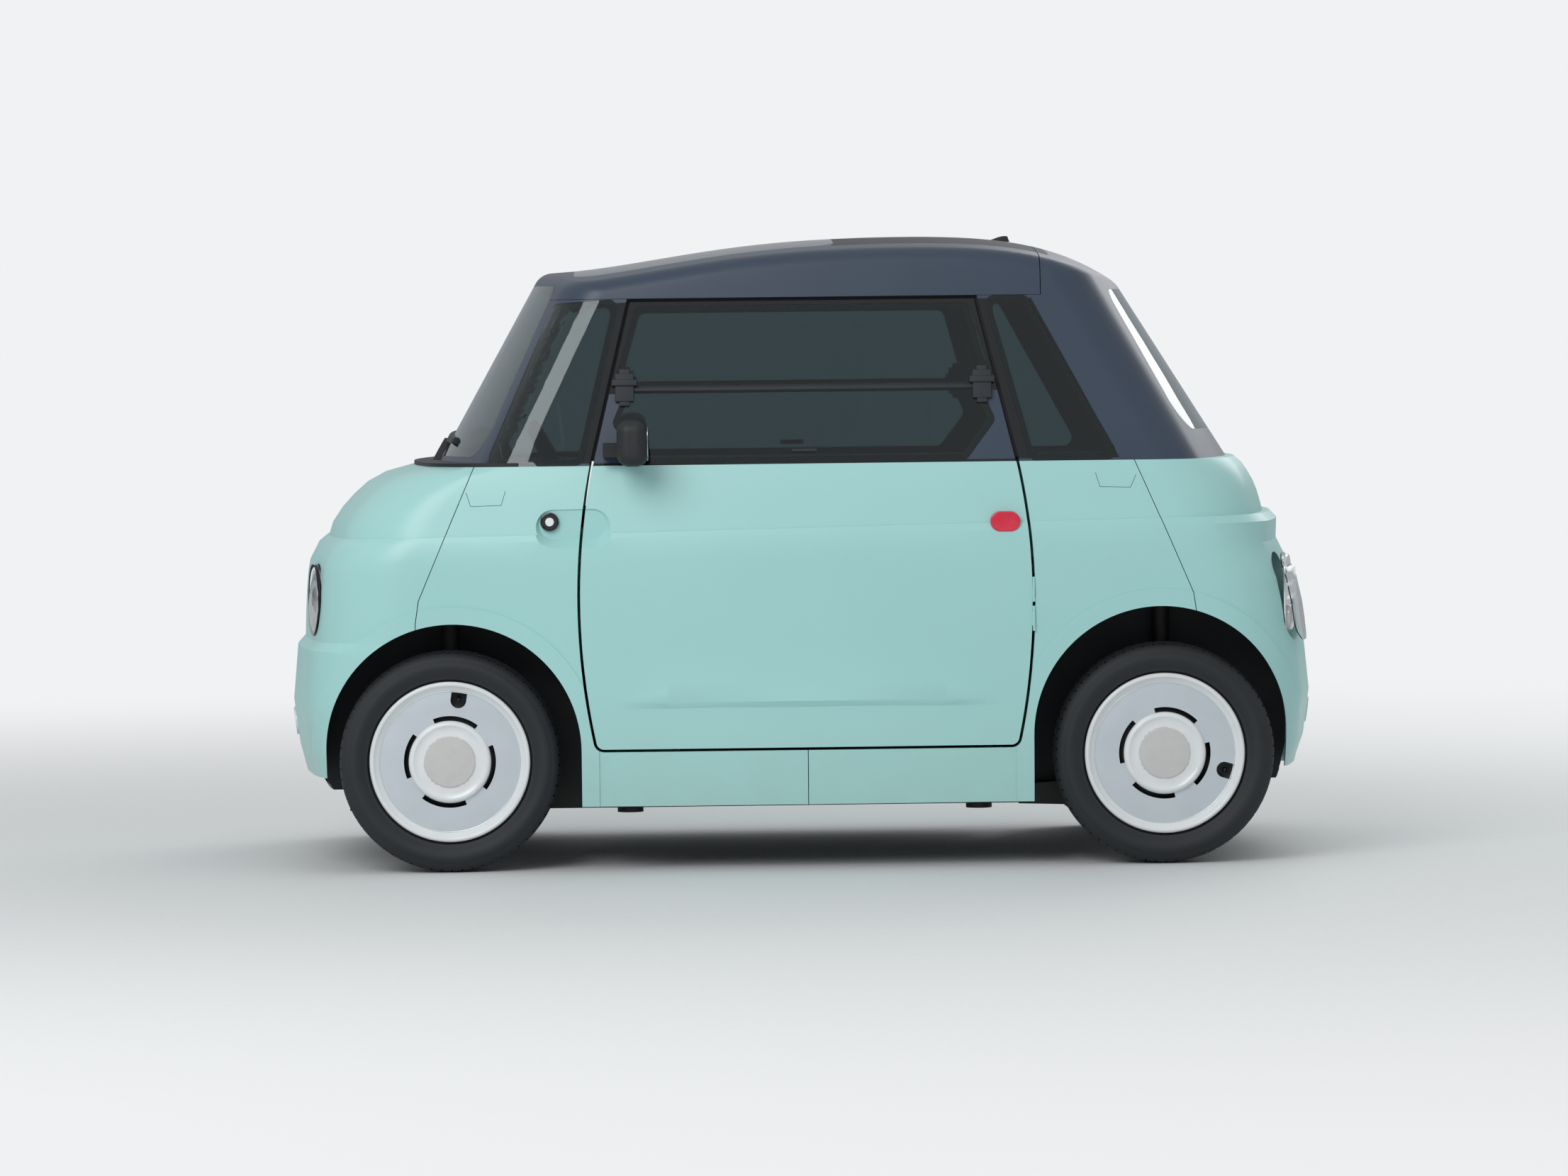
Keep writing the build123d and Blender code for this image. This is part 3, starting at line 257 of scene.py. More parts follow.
# Painted shade: the strips' darkened body colour stands for the shadow in the groove round each tab.
groove_shade_paint, tree = new_material("painted_groove_shade")
groove_shade_place = add(tree, "ShaderNodeTexCoord")
groove_shade_grain = add(tree, "ShaderNodeTexNoise", Vector=groove_shade_place.outputs["Object"], Scale=300.0)
groove_shade_bump = add(tree, "ShaderNodeBump", Strength=0.2, Distance=0.0003, Height=groove_shade_grain.outputs["Fac"])
groove_shade_surface = add(tree, "ShaderNodeBsdfPrincipled", Base_Color=linear("#3C5A5C"), Roughness=0.8,
                    Normal=groove_shade_bump.outputs[0])
add(tree, "ShaderNodeOutputMaterial", Surface=groove_shade_surface.outputs[0])


def skin_tree(*nodes):
    """A search tree of frame nodes' faces, to lay small pieces on them."""
    shape = bmesh.new()
    for node in nodes:
        shape.from_mesh(frame["nodes"][node].data)
    found = BVHTree.FromBMesh(shape)
    shape.free()
    return found


def laid_strip(shape, points, side, skin, width, height):
    """A thin raised strip laid on the flank along side-view points, divided so that it follows the skin."""
    rows = []
    for here, there in zip(points, points[1:]):
        run = Vector((there[0] - here[0], 0, there[1] - here[1]))
        across = run.normalized().cross(Vector((0, 1, 0))) * width / 2
        for share in [i / 6 for i in range(7)]:
            middle = Vector((here[0], 0, here[1])) + run * share
            row = []
            for offset, stand in ((-across, -0.0004), (-across * 0.4, height), (across * 0.4, height),
                                  (across, -0.0004)):
                start = middle + offset + Vector((0, side * 2, 0))
                hit = skin.ray_cast(start, Vector((0, -side, 0)))[0]
                if hit is not None:
                    row.append(shape.verts.new(hit + Vector((0, side * stand, 0))))
            rows.append(row if len(row) == 4 else None)
        rows.append(None)
    for near, far in zip(rows, rows[1:]):
        if near and far:
            for i in range(3):
                shape.faces.new((near[i], near[i + 1], far[i + 1], far[i]))


for side, hand in (("left", 1), ("right", -1)):
    for end, outline in tab_outlines.items():
        tab_shape = bmesh.new()
        skin = skin_tree(f"corner_panel_{end}_{side}", f"{end}_panel")
        laid_strip(tab_shape, outline, hand, skin, 2 * tab_line, 0.0002)
        bmesh.ops.recalc_face_normals(tab_shape, faces=tab_shape.faces)
        make_piece(f"tab_line_{end}_{side}", tab_shape, "car", "black_plastic", groove_shade_paint)

# Glasshouse frames: moulded plastic panels in a dark blue-grey. The parts of them that lie flush with
# the side panes carry the panes' printed black band, and the middle of the roof is a matt black sheet.
frame_paint, tree = new_material("painted_frame_plastic")
frame_place = add(tree, "ShaderNodeTexCoord")
frame_cloud = add(tree, "ShaderNodeTexNoise", Vector=frame_place.outputs["Object"], Scale=2.5, Detail=3.0)
frame_tint = add(tree, "ShaderNodeMix", {"data_type": "RGBA"}, n0=frame_cloud.outputs["Fac"],
                 n6=linear("#2F3B4D"), n7=linear("#384658"))
frame_grain = add(tree, "ShaderNodeTexNoise", Vector=frame_place.outputs["Object"], Scale=500.0, Detail=2.0)
frame_bump = add(tree, "ShaderNodeBump", Strength=0.08, Distance=0.0003, Height=frame_grain.outputs["Fac"])
frame_rough = add(tree, "ShaderNodeMapRange", Value=frame_cloud.outputs["Fac"], To_Min=0.34, To_Max=0.46)
frame_shade = add(tree, "ShaderNodeBsdfPrincipled", Base_Color=frame_tint.outputs[2],
                  Roughness=frame_rough.outputs[0], Normal=frame_bump.outputs[0])
add(tree, "ShaderNodeOutputMaterial", Surface=frame_shade.outputs[0])

ceramic_black, tree = new_material("ceramic_printed_glass")
ceramic_place = add(tree, "ShaderNodeTexCoord")
ceramic_cloud = add(tree, "ShaderNodeTexNoise", Vector=ceramic_place.outputs["Object"], Scale=9.0)
ceramic_rough = add(tree, "ShaderNodeMapRange", Value=ceramic_cloud.outputs["Fac"], To_Min=0.05, To_Max=0.11)
ceramic_shade = add(tree, "ShaderNodeBsdfPrincipled", Base_Color=linear("#181A1D"),
                    Roughness=ceramic_rough.outputs[0], IOR=1.52)
add(tree, "ShaderNodeOutputMaterial", Surface=ceramic_shade.outputs[0])

matt_black, tree = new_material("matt_black_roof_sheet")
matt_place = add(tree, "ShaderNodeTexCoord")
matt_grain = add(tree, "ShaderNodeTexVoronoi", Vector=matt_place.outputs["Object"], Scale=700.0)
matt_bump = add(tree, "ShaderNodeBump", Strength=0.2, Distance=0.0004, Height=matt_grain.outputs["Distance"])
matt_cloud = add(tree, "ShaderNodeTexNoise", Vector=matt_place.outputs["Object"], Scale=6.0, Detail=4.0)
matt_tint = add(tree, "ShaderNodeMix", {"data_type": "RGBA"}, n0=matt_cloud.outputs["Fac"],
                n6=linear("#1D2126"), n7=linear("#282D33"))
matt_shade = add(tree, "ShaderNodeBsdfPrincipled", Base_Color=matt_tint.outputs[2], Roughness=0.6,
                 Normal=matt_bump.outputs[0])
add(tree, "ShaderNodeOutputMaterial", Surface=matt_shade.outputs[0])


def painted_region(shape, outline, axis, index):
    """Gives the faces that look along an axis, inside a convex outline, another material.

    The faces are cut along the outline first. The outline is (x, z) for axis 1 and (x, y) for axis 2.
    """
    flat = [Vector((a, 0, b)) if axis == 1 else Vector((a, b, 0)) for a, b in outline]
    middle = sum(flat, Vector()) / len(flat)
    along = Vector((0, 1, 0)) if axis == 1 else Vector((0, 0, 1))
    sides = []
    for here, there in zip(flat, flat[1:] + flat[:1]):
        outward = (there - here).cross(along).normalized()
        if (middle - here).dot(outward) > 0:
            outward = -outward
        geometry = shape.verts[:] + shape.edges[:] + shape.faces[:]
        bmesh.ops.bisect_plane(shape, geom=geometry, dist=1e-6, plane_co=here, plane_no=outward)
        sides.append((here, outward))
    for face in shape.faces:
        centre = face.calc_center_median()
        if abs(face.normal[axis]) > 0.6 and all((centre - here).dot(outward) < 0 for here, outward in sides):
            face.material_index = index


front_band = [(0.418, 1.372), (0.606, 1.36), (0.80, 0.984), (0.50, 0.984)]
rear_band = [(-0.418, 1.372), (-0.556, 1.372), (-0.762, 0.984), (-0.50, 0.984)]
roof_sheet = [(-0.078, 0.43), (-0.078, -0.43), (-0.608, -0.43), (-0.608, 0.43)]
for node, outline, axis, finish in (
    ("windscreen_frame", front_band, 1, ceramic_black),
    ("rear_frame", rear_band, 1, ceramic_black),
    ("roof_frame", roof_sheet, 2, matt_black),
):
    shape = node_shape(node)
    painted_region(shape, outline, axis, 1)
    if node == "rear_frame":
        painted_region(shape, roof_sheet, 2, 2)
    stand_in(node, shape, "frame_grey", frame_paint, finish, matt_black)

# Door windows: one big pane each with a wide black band, in which a lower light folds up on two hinge
# blocks. The band's lower corners are covered by plates in the frames' colour.
corner_plates = [
    [(0.385, 0.984), (0.385, 1.15), (0.53, 1.15), (0.53, 0.984)],
    [(-0.385, 0.984), (-0.385, 1.15), (-0.53, 1.15), (-0.53, 0.984)],
]
hinge_along, hinge_height = 0.432, 1.165
# How far the door window leans in over its height
window_lean = math.atan2(0.104, 0.519)
# Each hinge block is three rounded boxes: its size, how far it stands out and how far up it sits
hinge_boxes = [((0.046, 0.014, 0.07), 0.004, 0), ((0.026, 0.012, 0.092), 0.003, 0),
               ((0.062, 0.012, 0.016), 0.007, 0.012)]
bar_half, bar_height, bar_width = 0.418, 1.161, 0.018
catch_half, catch_height, catch_width = 0.03, 1.0105, 0.012
for side, hand in (("left", 1), ("right", -1)):
    shape = node_shape(f"door_frame_{side}")
    for outline in corner_plates:
        painted_region(shape, outline, 1, 1)
    stand_in(f"door_frame_{side}", shape, "frame_grey", ceramic_black, frame_paint)

    skin = skin_tree(f"door_frame_{side}", f"door_glass_{side}")
    fittings = bmesh.new()
    for along in (hinge_along, -hinge_along):
        hit = skin.ray_cast(Vector((along, hand * 2, hinge_height)), Vector((0, -hand, 0)))[0]
        for size, stand, rise in hinge_boxes:
            before = set(fittings.verts)
            made = bmesh.ops.create_cube(fittings, size=1.0)["verts"]
            bmesh.ops.scale(fittings, vec=size, verts=made)
            bmesh.ops.bevel(fittings, geom=list({edge for v in made for edge in v.link_edges}),
                            offset=0.0035, segments=3, profile=0.6, affect="EDGES")
            made = [v for v in fittings.verts if v not in before]
            bmesh.ops.rotate(fittings, cent=(0, 0, 0), verts=made,
                             matrix=Matrix.Rotation(hand * window_lean, 3, "X"))
            bmesh.ops.translate(fittings, vec=hit + Vector((0, hand * stand, rise)), verts=made)
    make_piece(f"window_hinges_{side}", fittings, f"{side}_door", "frame_grey", matt_black)

    # The lower light's frame bar, with the catch that holds it shut
    bar = bmesh.new()
    laid_strip(bar, [(-bar_half, bar_height), (bar_half, bar_height)], hand, skin, bar_width, 0.005)
    laid_strip(bar, [(-catch_half, catch_height), (catch_half, catch_height)], hand, skin, catch_width, 0.006)
    bmesh.ops.recalc_face_normals(bar, faces=bar.faces)
    make_piece(f"window_bar_{side}", bar, f"{side}_door", "frame_grey", matt_black)

# Window glass: toughened panes with a grey-green tint, fitted flush.
tinted_glass, tree = new_material("tinted_toughened_glass")
glass_place = add(tree, "ShaderNodeTexCoord")
glass_film = add(tree, "ShaderNodeTexNoise", Vector=glass_place.outputs["Object"], Scale=3.0, Detail=4.0)
glass_rough = add(tree, "ShaderNodeMapRange", Value=glass_film.outputs["Fac"], To_Min=0.0, To_Max=0.03)
glass_shade = add(tree, "ShaderNodeBsdfPrincipled", Base_Color=linear("#81989A"),
                  Roughness=glass_rough.outputs[0], IOR=1.5, Transmission_Weight=1.0)
add(tree, "ShaderNodeOutputMaterial", Surface=glass_shade.outputs[0])
for node in ("windscreen", "rear_window", "front_quarter_glass", "rear_quarter_glass",
             "door_glass_left", "door_glass_right"):
    stand_in(node, node_shape(node), "tinted_glass", tinted_glass)
dark_glass, tree = new_material("dark_roof_glass")
roof_place = add(tree, "ShaderNodeTexCoord")
roof_film = add(tree, "ShaderNodeTexNoise", Vector=roof_place.outputs["Object"], Scale=4.0, Detail=4.0)
roof_rough = add(tree, "ShaderNodeMapRange", Value=roof_film.outputs["Fac"], To_Min=0.0, To_Max=0.04)
roof_shade = add(tree, "ShaderNodeBsdfPrincipled", Base_Color=linear("#3E4A50"),
                 Roughness=roof_rough.outputs[0], IOR=1.5, Transmission_Weight=1.0)
add(tree, "ShaderNodeOutputMaterial", Surface=roof_shade.outputs[0])
stand_in("roof_glass", node_shape("roof_glass"), "tinted_glass", dark_glass)

# Black trim: glass-filled polypropylene with a fine moulded grain. Cowl, wiper, mirrors, locks, wheel
# liners and most of the inside are made of it.
black_trim, tree = new_material("grained_black_polypropylene")
trim_place = add(tree, "ShaderNodeTexCoord")
trim_grain = add(tree, "ShaderNodeTexVoronoi", Vector=trim_place.outputs["Object"], Scale=900.0)
trim_cloud = add(tree, "ShaderNodeTexNoise", Vector=trim_place.outputs["Object"], Scale=7.0, Detail=4.0)
trim_tint = add(tree, "ShaderNodeMix", {"data_type": "RGBA"}, n0=trim_cloud.outputs["Fac"],
                n6=linear("#15171A"), n7=linear("#202328"))
trim_bump = add(tree, "ShaderNodeBump", Strength=0.25, Distance=0.0004, Height=trim_grain.outputs["Distance"])
trim_shade = add(tree, "ShaderNodeBsdfPrincipled", Base_Color=trim_tint.outputs[2], Roughness=0.55,
                 Normal=trim_bump.outputs[0])
add(tree, "ShaderNodeOutputMaterial", Surface=trim_shade.outputs[0])
for node in ("cowl", "wiper", "wheel_liners", "floor_pan", "rear_shelf", "lock_buttons", "steering_column",
             "seat_shells", "mirror_left", "mirror_right"):
    slot = "frame_grey" if node.startswith("mirror") else "black_plastic"
    stand_in(node, node_shape(node), slot, black_trim)

# Door mirrors: black housings whose glass faces back, with a thin bright edge.
mirror_silver, tree = new_material("silvered_mirror_glass")
silver_place = add(tree, "ShaderNodeTexCoord")
silver_film = add(tree, "ShaderNodeTexNoise", Vector=silver_place.outputs["Object"], Scale=20.0, Detail=3.0)
silver_rough = add(tree, "ShaderNodeMapRange", Value=silver_film.outputs["Fac"], To_Min=0.0, To_Max=0.05)
silver_shade = add(tree, "ShaderNodeBsdfPrincipled", Base_Color=linear("#C9D2D6"), Metallic=1.0,
                   Roughness=silver_rough.outputs[0])
add(tree, "ShaderNodeOutputMaterial", Surface=silver_shade.outputs[0])


def rounded_plate(shape, centre, across, up, size, corner, thickness, dome=0.0):
    """A round-cornered plate that faces along across x up, crowned in the middle if dome isn't 0."""
    normal = across.cross(up).normalized()
    rings = []
    for inset, stand in ((0.0, 0.0), (0.0, thickness * 0.7), (thickness * 0.3, thickness),
                         (min(size) * 0.16, thickness + dome * 0.55), (min(size) * 0.33, thickness + dome)):
        half = (size[0] / 2 - inset, size[1] / 2 - inset)
        round_off = max(corner - inset, min(half) * 0.25)
        ring = []
        for quarter in range(4):
            sign = ((1, 1), (-1, 1), (-1, -1), (1, -1))[quarter]
            for step in range(7):
                angle = math.pi / 2 * (quarter + step / 6)
                flat = (sign[0] * (half[0] - round_off) + round_off * math.cos(angle),
                        sign[1] * (half[1] - round_off) + round_off * math.sin(angle))
                ring.append(shape.verts.new(centre + across * flat[0] + up * flat[1] + normal * stand))
        rings.append(ring)
    for low, high in zip(rings, rings[1:]):
        for i in range(28):
            j = (i + 1) % 28
            shape.faces.new((low[i], low[j], high[j], high[i]))
    shape.faces.new(rings[-1])
    shape.faces.new(reversed(rings[0]))


mirror_size, mirror_corner = (0.122, 0.084), 0.026
mirror_inboard = 0.075
for side, hand in (("left", 1), ("right", -1)):
    low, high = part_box(f"mirror_{side}")
    plate = bmesh.new()
    outer = hand * max(abs(low[1]), abs(high[1]))
    middle = Vector((low[0] + 0.0035, outer - hand * mirror_inboard, (low[2] + high[2]) / 2))
    rounded_plate(plate, middle, Vector((0, -1, 0)), Vector((0, 0, 1)), mirror_size, mirror_corner, 0.0022)
    make_piece(f"mirror_glass_{side}", plate, f"{side}_door", "tinted_glass", mirror_silver)

# Lock buttons: a black bezel with a white cap in the middle, in the recess in front of each door.
white_cap, tree = new_material("white_button_cap")
cap_place = add(tree, "ShaderNodeTexCoord")
cap_cloud = add(tree, "ShaderNodeTexNoise", Vector=cap_place.outputs["Object"], Scale=120.0)
cap_rough = add(tree, "ShaderNodeMapRange", Value=cap_cloud.outputs["Fac"], To_Min=0.25, To_Max=0.4)
cap_shade = add(tree, "ShaderNodeBsdfPrincipled", Base_Color=linear("#EDEFEE"),
                Roughness=cap_rough.outputs[0])
add(tree, "ShaderNodeOutputMaterial", Surface=cap_shade.outputs[0])


def turned(shape, profile, centre, axis, steps, index=0):
    """Spins a profile of (along, out) points about an axis, all the way round."""
    outward = axis.orthogonal().normalized()
    ring = [shape.verts.new(centre + axis * along + outward * out) for along, out in profile]
    lines = [shape.edges.new(pair) for pair in zip(ring, ring[1:])]
    before = set(shape.faces)
    bmesh.ops.spin(shape, geom=ring + lines, cent=centre, axis=axis, angle=math.tau, steps=steps,
                   use_merge=True)
    for face in set(shape.faces) - before:
        face.material_index = index


# The recesses lie on opposite ends of the two sides, as the doors do
button_x, button_y, button_height = 0.616, 0.6713, 0.845
caps = bmesh.new()
for hand in (1, -1):
    centre = Vector((hand * button_x, hand * button_y, button_height))
    turned(caps, [(0.0, 0.0105), (0.0012, 0.0105), (0.002, 0.0098), (0.0021, 0.0)], centre,
           Vector((0, hand, 0)), 32, 0)
    turned(caps, [(-0.001, 0.0225), (0.0014, 0.0215), (0.0022, 0.0195), (0.0006, 0.0175), (-0.001, 0.017)],
           centre, Vector((0, hand, 0)), 40, 1)
sealed(caps)
make_piece("lock_caps", caps, "car", "black_plastic", white_cap, ceramic_black)

# Head lamps: round clear covers in the nose, over a black bowl with a ring of light and a projector.
# Tail lamps: tall clear covers over chrome reflectors, with a frosted lens low down and three opal
# cross ribs that an upright joins. Bumper lenses are plain.
clear_acrylic, tree = new_material("clear_acrylic")
lens_place = add(tree, "ShaderNodeTexCoord")
lens_film = add(tree, "ShaderNodeTexNoise", Vector=lens_place.outputs["Object"], Scale=30.0)
lens_rough = add(tree, "ShaderNodeMapRange", Value=lens_film.outputs["Fac"], To_Min=0.01, To_Max=0.05)
lens_shade = add(tree, "ShaderNodeBsdfPrincipled", Base_Color=linear("#F6F9FA"),
                 Roughness=lens_rough.outputs[0], IOR=1.45, Transmission_Weight=1.0)
add(tree, "ShaderNodeOutputMaterial", Surface=lens_shade.outputs[0])
chrome, tree = new_material("vapour_chromed_plastic")
chrome_place = add(tree, "ShaderNodeTexCoord")
chrome_film = add(tree, "ShaderNodeTexNoise", Vector=chrome_place.outputs["Object"], Scale=60.0)
chrome_rough = add(tree, "ShaderNodeMapRange", Value=chrome_film.outputs["Fac"], To_Min=0.05, To_Max=0.14)
chrome_shade = add(tree, "ShaderNodeBsdfPrincipled", Base_Color=linear("#E4E8EA"), Metallic=1.0,
                   Roughness=chrome_rough.outputs[0])
add(tree, "ShaderNodeOutputMaterial", Surface=chrome_shade.outputs[0])
light_ring, tree = new_material("opal_light_guide")
opal_place = add(tree, "ShaderNodeTexCoord")
opal_cloud = add(tree, "ShaderNodeTexNoise", Vector=opal_place.outputs["Object"], Scale=50.0)
opal_rough = add(tree, "ShaderNodeMapRange", Value=opal_cloud.outputs["Fac"], To_Min=0.2, To_Max=0.35)
opal_shade = add(tree, "ShaderNodeBsdfPrincipled", Base_Color=linear("#FBFCFC"),
                 Roughness=opal_rough.outputs[0], Emission_Color=linear("#FFFFFF"), Emission_Strength=0.12)
add(tree, "ShaderNodeOutputMaterial", Surface=opal_shade.outputs[0])
frosted_lens, tree = new_material("frosted_acrylic")
frosted_place = add(tree, "ShaderNodeTexCoord")
frosted_ribs = add(tree, "ShaderNodeTexWave", {"bands_direction": "Z"},
                   Vector=frosted_place.outputs["Object"], Scale=60.0)
frosted_bump = add(tree, "ShaderNodeBump", Strength=0.3, Distance=0.0008, Height=frosted_ribs.outputs["Fac"])
frosted_shade = add(tree, "ShaderNodeBsdfPrincipled", Base_Color=linear("#D9D3D3"), Roughness=0.12,
                    Normal=frosted_bump.outputs[0], Coat_Weight=0.6)
add(tree, "ShaderNodeOutputMaterial", Surface=frosted_shade.outputs[0])

lens_thickness = 0.003


def hollow_lens(node):
    """A frame lamp made into a thin cover: its outer face, and the same face again a few mm in."""
    shape = node_shape(node)
    way = 1 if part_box(node)[1][0] > 0 else -1
    inner = [face for face in shape.faces if face.normal[0] * way < 0.25]
    bmesh.ops.delete(shape, geom=inner, context="FACES")
    loose = [v for v in shape.verts if not v.link_faces]
    bmesh.ops.delete(shape, geom=loose, context="VERTS")
    bmesh.ops.solidify(shape, geom=shape.faces[:], thickness=lens_thickness)
    return shape


for node in ("headlamps", "tail_lamps"):
    stand_in(node, hollow_lens(node), "lamp_lens", clear_acrylic)

headlamp_y, headlamp_height = 0.42, 0.655
headlamp_turn = math.radians(10.5)
head_bowl = bmesh.new()
low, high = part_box("headlamps")
for hand in (1, -1):
    tilt = headlamp_turn * hand
    axis = Vector((math.cos(tilt), math.sin(tilt), 0))
    centre = Vector((high[0] - 0.020, hand * headlamp_y, headlamp_height))
    turned(head_bowl, [(0.004, 0.0868), (-0.006, 0.084), (-0.010, 0.07), (-0.012, 0.0)], centre, axis, 64, 0)
    turned(head_bowl, [(-0.009, 0.080), (0.000, 0.080), (0.002, 0.077), (0.000, 0.074), (-0.009, 0.074)],
           centre, axis, 64, 1)
    turned(head_bowl, [(-0.011, 0.058), (-0.002, 0.056), (0.000, 0.053), (-0.006, 0.046), (-0.011, 0.03)],
           centre, axis, 56, 2)
    turned(head_bowl, [(-0.011, 0.034), (-0.003, 0.032), (0.001, 0.024), (0.0035, 0.012), (0.0042, 0.0)],
           centre, axis, 40, 3)
    for height in (-0.066, 0.066):
        start = centre + Vector((0, 0, height * 0.98)) - axis * 0.010
        turned(head_bowl, [(0.0, 0.007), (0.004, 0.006), (0.005, 0.0)], start, axis, 20, 2)
sealed(head_bowl)
make_piece("headlamp_bowls", head_bowl, "car", "black_plastic", black_trim, light_ring, chrome, clear_acrylic)

tail_lamp_y, tail_lamp_height = 0.512, 0.640
tail_lamp_turn = math.radians(13)
tail_lamp_lean = Vector((0.16, 0, 1))
rib_thickness, rib_corner, rib_stand = 0.011, 0.0054, 0.012
tail_bowl = bmesh.new()
low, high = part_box("tail_lamps")
for hand in (1, -1):
    turn = math.radians(180) - tail_lamp_turn * hand
    facing = Vector((math.cos(turn), math.sin(turn), 0.0))
    lean = tail_lamp_lean.normalized()
    across = lean.cross(facing).normalized()
    up = facing.cross(across).normalized()
    heart = Vector((low[0] + 0.047, hand * tail_lamp_y, tail_lamp_height))
    rounded_plate(tail_bowl, heart - facing * 0.004, across, up, (0.112, 0.202), 0.048, 0.004)
    before = set(tail_bowl.faces)
    rounded_plate(tail_bowl, heart - up * 0.052, across, up, (0.084, 0.062), 0.024, 0.008, 0.003)
    for face in set(tail_bowl.faces) - before:
        face.material_index = 1
    before = set(tail_bowl.faces)
    for rise in (0.066, 0.032, -0.002):
        rounded_plate(tail_bowl, heart + up * rise, across, up, (0.088, rib_thickness), rib_corner, rib_stand)
    upright = heart + up * 0.032 + across * 0.040 * hand
    rounded_plate(tail_bowl, upright, across, up, (rib_thickness, 0.08), rib_corner, rib_stand)
    for face in set(tail_bowl.faces) - before:
        face.material_index = 2
bmesh.ops.recalc_face_normals(tail_bowl, faces=tail_bowl.faces)
make_piece("tail_lamp_reflectors", tail_bowl, "car", "lamp_lens", chrome, frosted_lens, light_ring)

pad_satin, tree = new_material("satin_grey_bumper_lens")
pad_place = add(tree, "ShaderNodeTexCoord")
pad_cloud = add(tree, "ShaderNodeTexNoise", Vector=pad_place.outputs["Object"], Scale=12.0, Detail=4.0)
pad_rough = add(tree, "ShaderNodeMapRange", Value=pad_cloud.outputs["Fac"], To_Min=0.2, To_Max=0.32)
pad_shade = add(tree, "ShaderNodeBsdfPrincipled", Base_Color=linear("#D5DDDD"),
                Roughness=pad_rough.outputs[0])
add(tree, "ShaderNodeOutputMaterial", Surface=pad_shade.outputs[0])
stand_in("bumper_pads", node_shape("bumper_pads"), "mint", pad_satin)

# Door badges: red enamelled ovals with nothing on them.
badge_enamel, tree = new_material("red_badge_enamel")
badge_place = add(tree, "ShaderNodeTexCoord")
badge_cloud = add(tree, "ShaderNodeTexNoise", Vector=badge_place.outputs["Object"], Scale=35.0, Detail=2.0)
badge_tint = add(tree, "ShaderNodeMix", {"data_type": "RGBA"}, n0=badge_cloud.outputs["Fac"],
                 n6=linear("#D01A38"), n7=linear("#E83A52"))
badge_shade = add(tree, "ShaderNodeBsdfPrincipled", Base_Color=badge_tint.outputs[2], Roughness=0.22,
                  Coat_Weight=0.4)
add(tree, "ShaderNodeOutputMaterial", Surface=badge_shade.outputs[0])
for node in ("door_badge_left", "door_badge_right"):
    stand_in(node, node_shape(node), "badge_red", badge_enamel)

# Tyres: black rubber, with ribs and a rim protector on the sidewall and a road tread of three grooves,
# a broken centre and shoulder blocks. The sidewalls carry no lettering.
axle_x, wheel_y, axle_height = 0.864, 0.585, 0.268
corners = [(end, way, side, hand) for end, way in (("front", 1), ("rear", -1))
           for side, hand in (("left", 1), ("right", -1))]
# Profiles as (along the axle from the middle, out from the axle), from the rim outwards
sidewall = [
    (0.0500, 0.1850), (0.0515, 0.1935), (0.0545, 0.1975), (0.0590, 0.1995), (0.0632, 0.1998),
    (0.0640, 0.2025), (0.0655, 0.2060), (0.0690, 0.2105), (0.0727, 0.2160), (0.0752, 0.2215),
    (0.0766, 0.2265), (0.0771, 0.2310), (0.0766, 0.2355), (0.0752, 0.2398), (0.0745, 0.2402),
    (0.0739, 0.2420), (0.0720, 0.2452), (0.0712, 0.2455), (0.0705, 0.2475), (0.0685, 0.2515),
    (0.0665, 0.2548), (0.0640, 0.2575),
]
tread = [
    (0.0642, 0.2572), (0.0625, 0.2592), (0.0600, 0.2613), (0.0570, 0.2632), (0.0545, 0.2643),
    (0.0480, 0.2655), (0.0420, 0.2662), (0.0360, 0.2668), (0.0352, 0.2608), (0.0292, 0.2608),
    (0.0284, 0.2671), (0.0220, 0.2674), (0.0140, 0.2676), (0.0068, 0.2678), (0.0056, 0.2616),
    (0.0, 0.2616),
]
rim_bead = [(-0.0500, 0.1850), (-0.0490, 0.1812), (0.0490, 0.1812), (0.0500, 0.1850)]
groove_depth = 0.0052
# What lies lower than this is the floor of a groove and isn't cut again
groove_floor = 0.2617
shoulder = (0.036, 0.0602)
middle_rib = (0.0065, 0.0285)
middle_share = 0.45
pitches = 66
# Places within one pitch where the tread is cut, and how deep a share of the groove each has
pitch_rings = [(0.0, 0.0), (0.05, 1.0), (0.16, 1.0), (0.21, 0.0), (0.60, 0.0)]

tyre_rubber, tree = new_material("tyre_rubber")
rubber_place = add(tree, "ShaderNodeTexCoord")
rubber_cloud = add(tree, "ShaderNodeTexNoise", Vector=rubber_place.outputs["Object"], Scale=11.0, Detail=5.0)
rubber_tint = add(tree, "ShaderNodeMix", {"data_type": "RGBA"}, n0=rubber_cloud.outputs["Fac"],
                  n6=linear("#15181C"), n7=linear("#262A2E"))
rubber_grain = add(tree, "ShaderNodeTexNoise", Vector=rubber_place.outputs["Object"], Scale=700.0)
rubber_bump = add(tree, "ShaderNodeBump", Strength=0.25, Distance=0.0004, Height=rubber_grain.outputs["Fac"])
rubber_rough = add(tree, "ShaderNodeMapRange", Value=rubber_cloud.outputs["Fac"], To_Min=0.55, To_Max=0.75)
rubber_shade = add(tree, "ShaderNodeBsdfPrincipled", Base_Color=rubber_tint.outputs[2],
                   Roughness=rubber_rough.outputs[0], Normal=rubber_bump.outputs[0])
add(tree, "ShaderNodeOutputMaterial", Surface=rubber_shade.outputs[0])

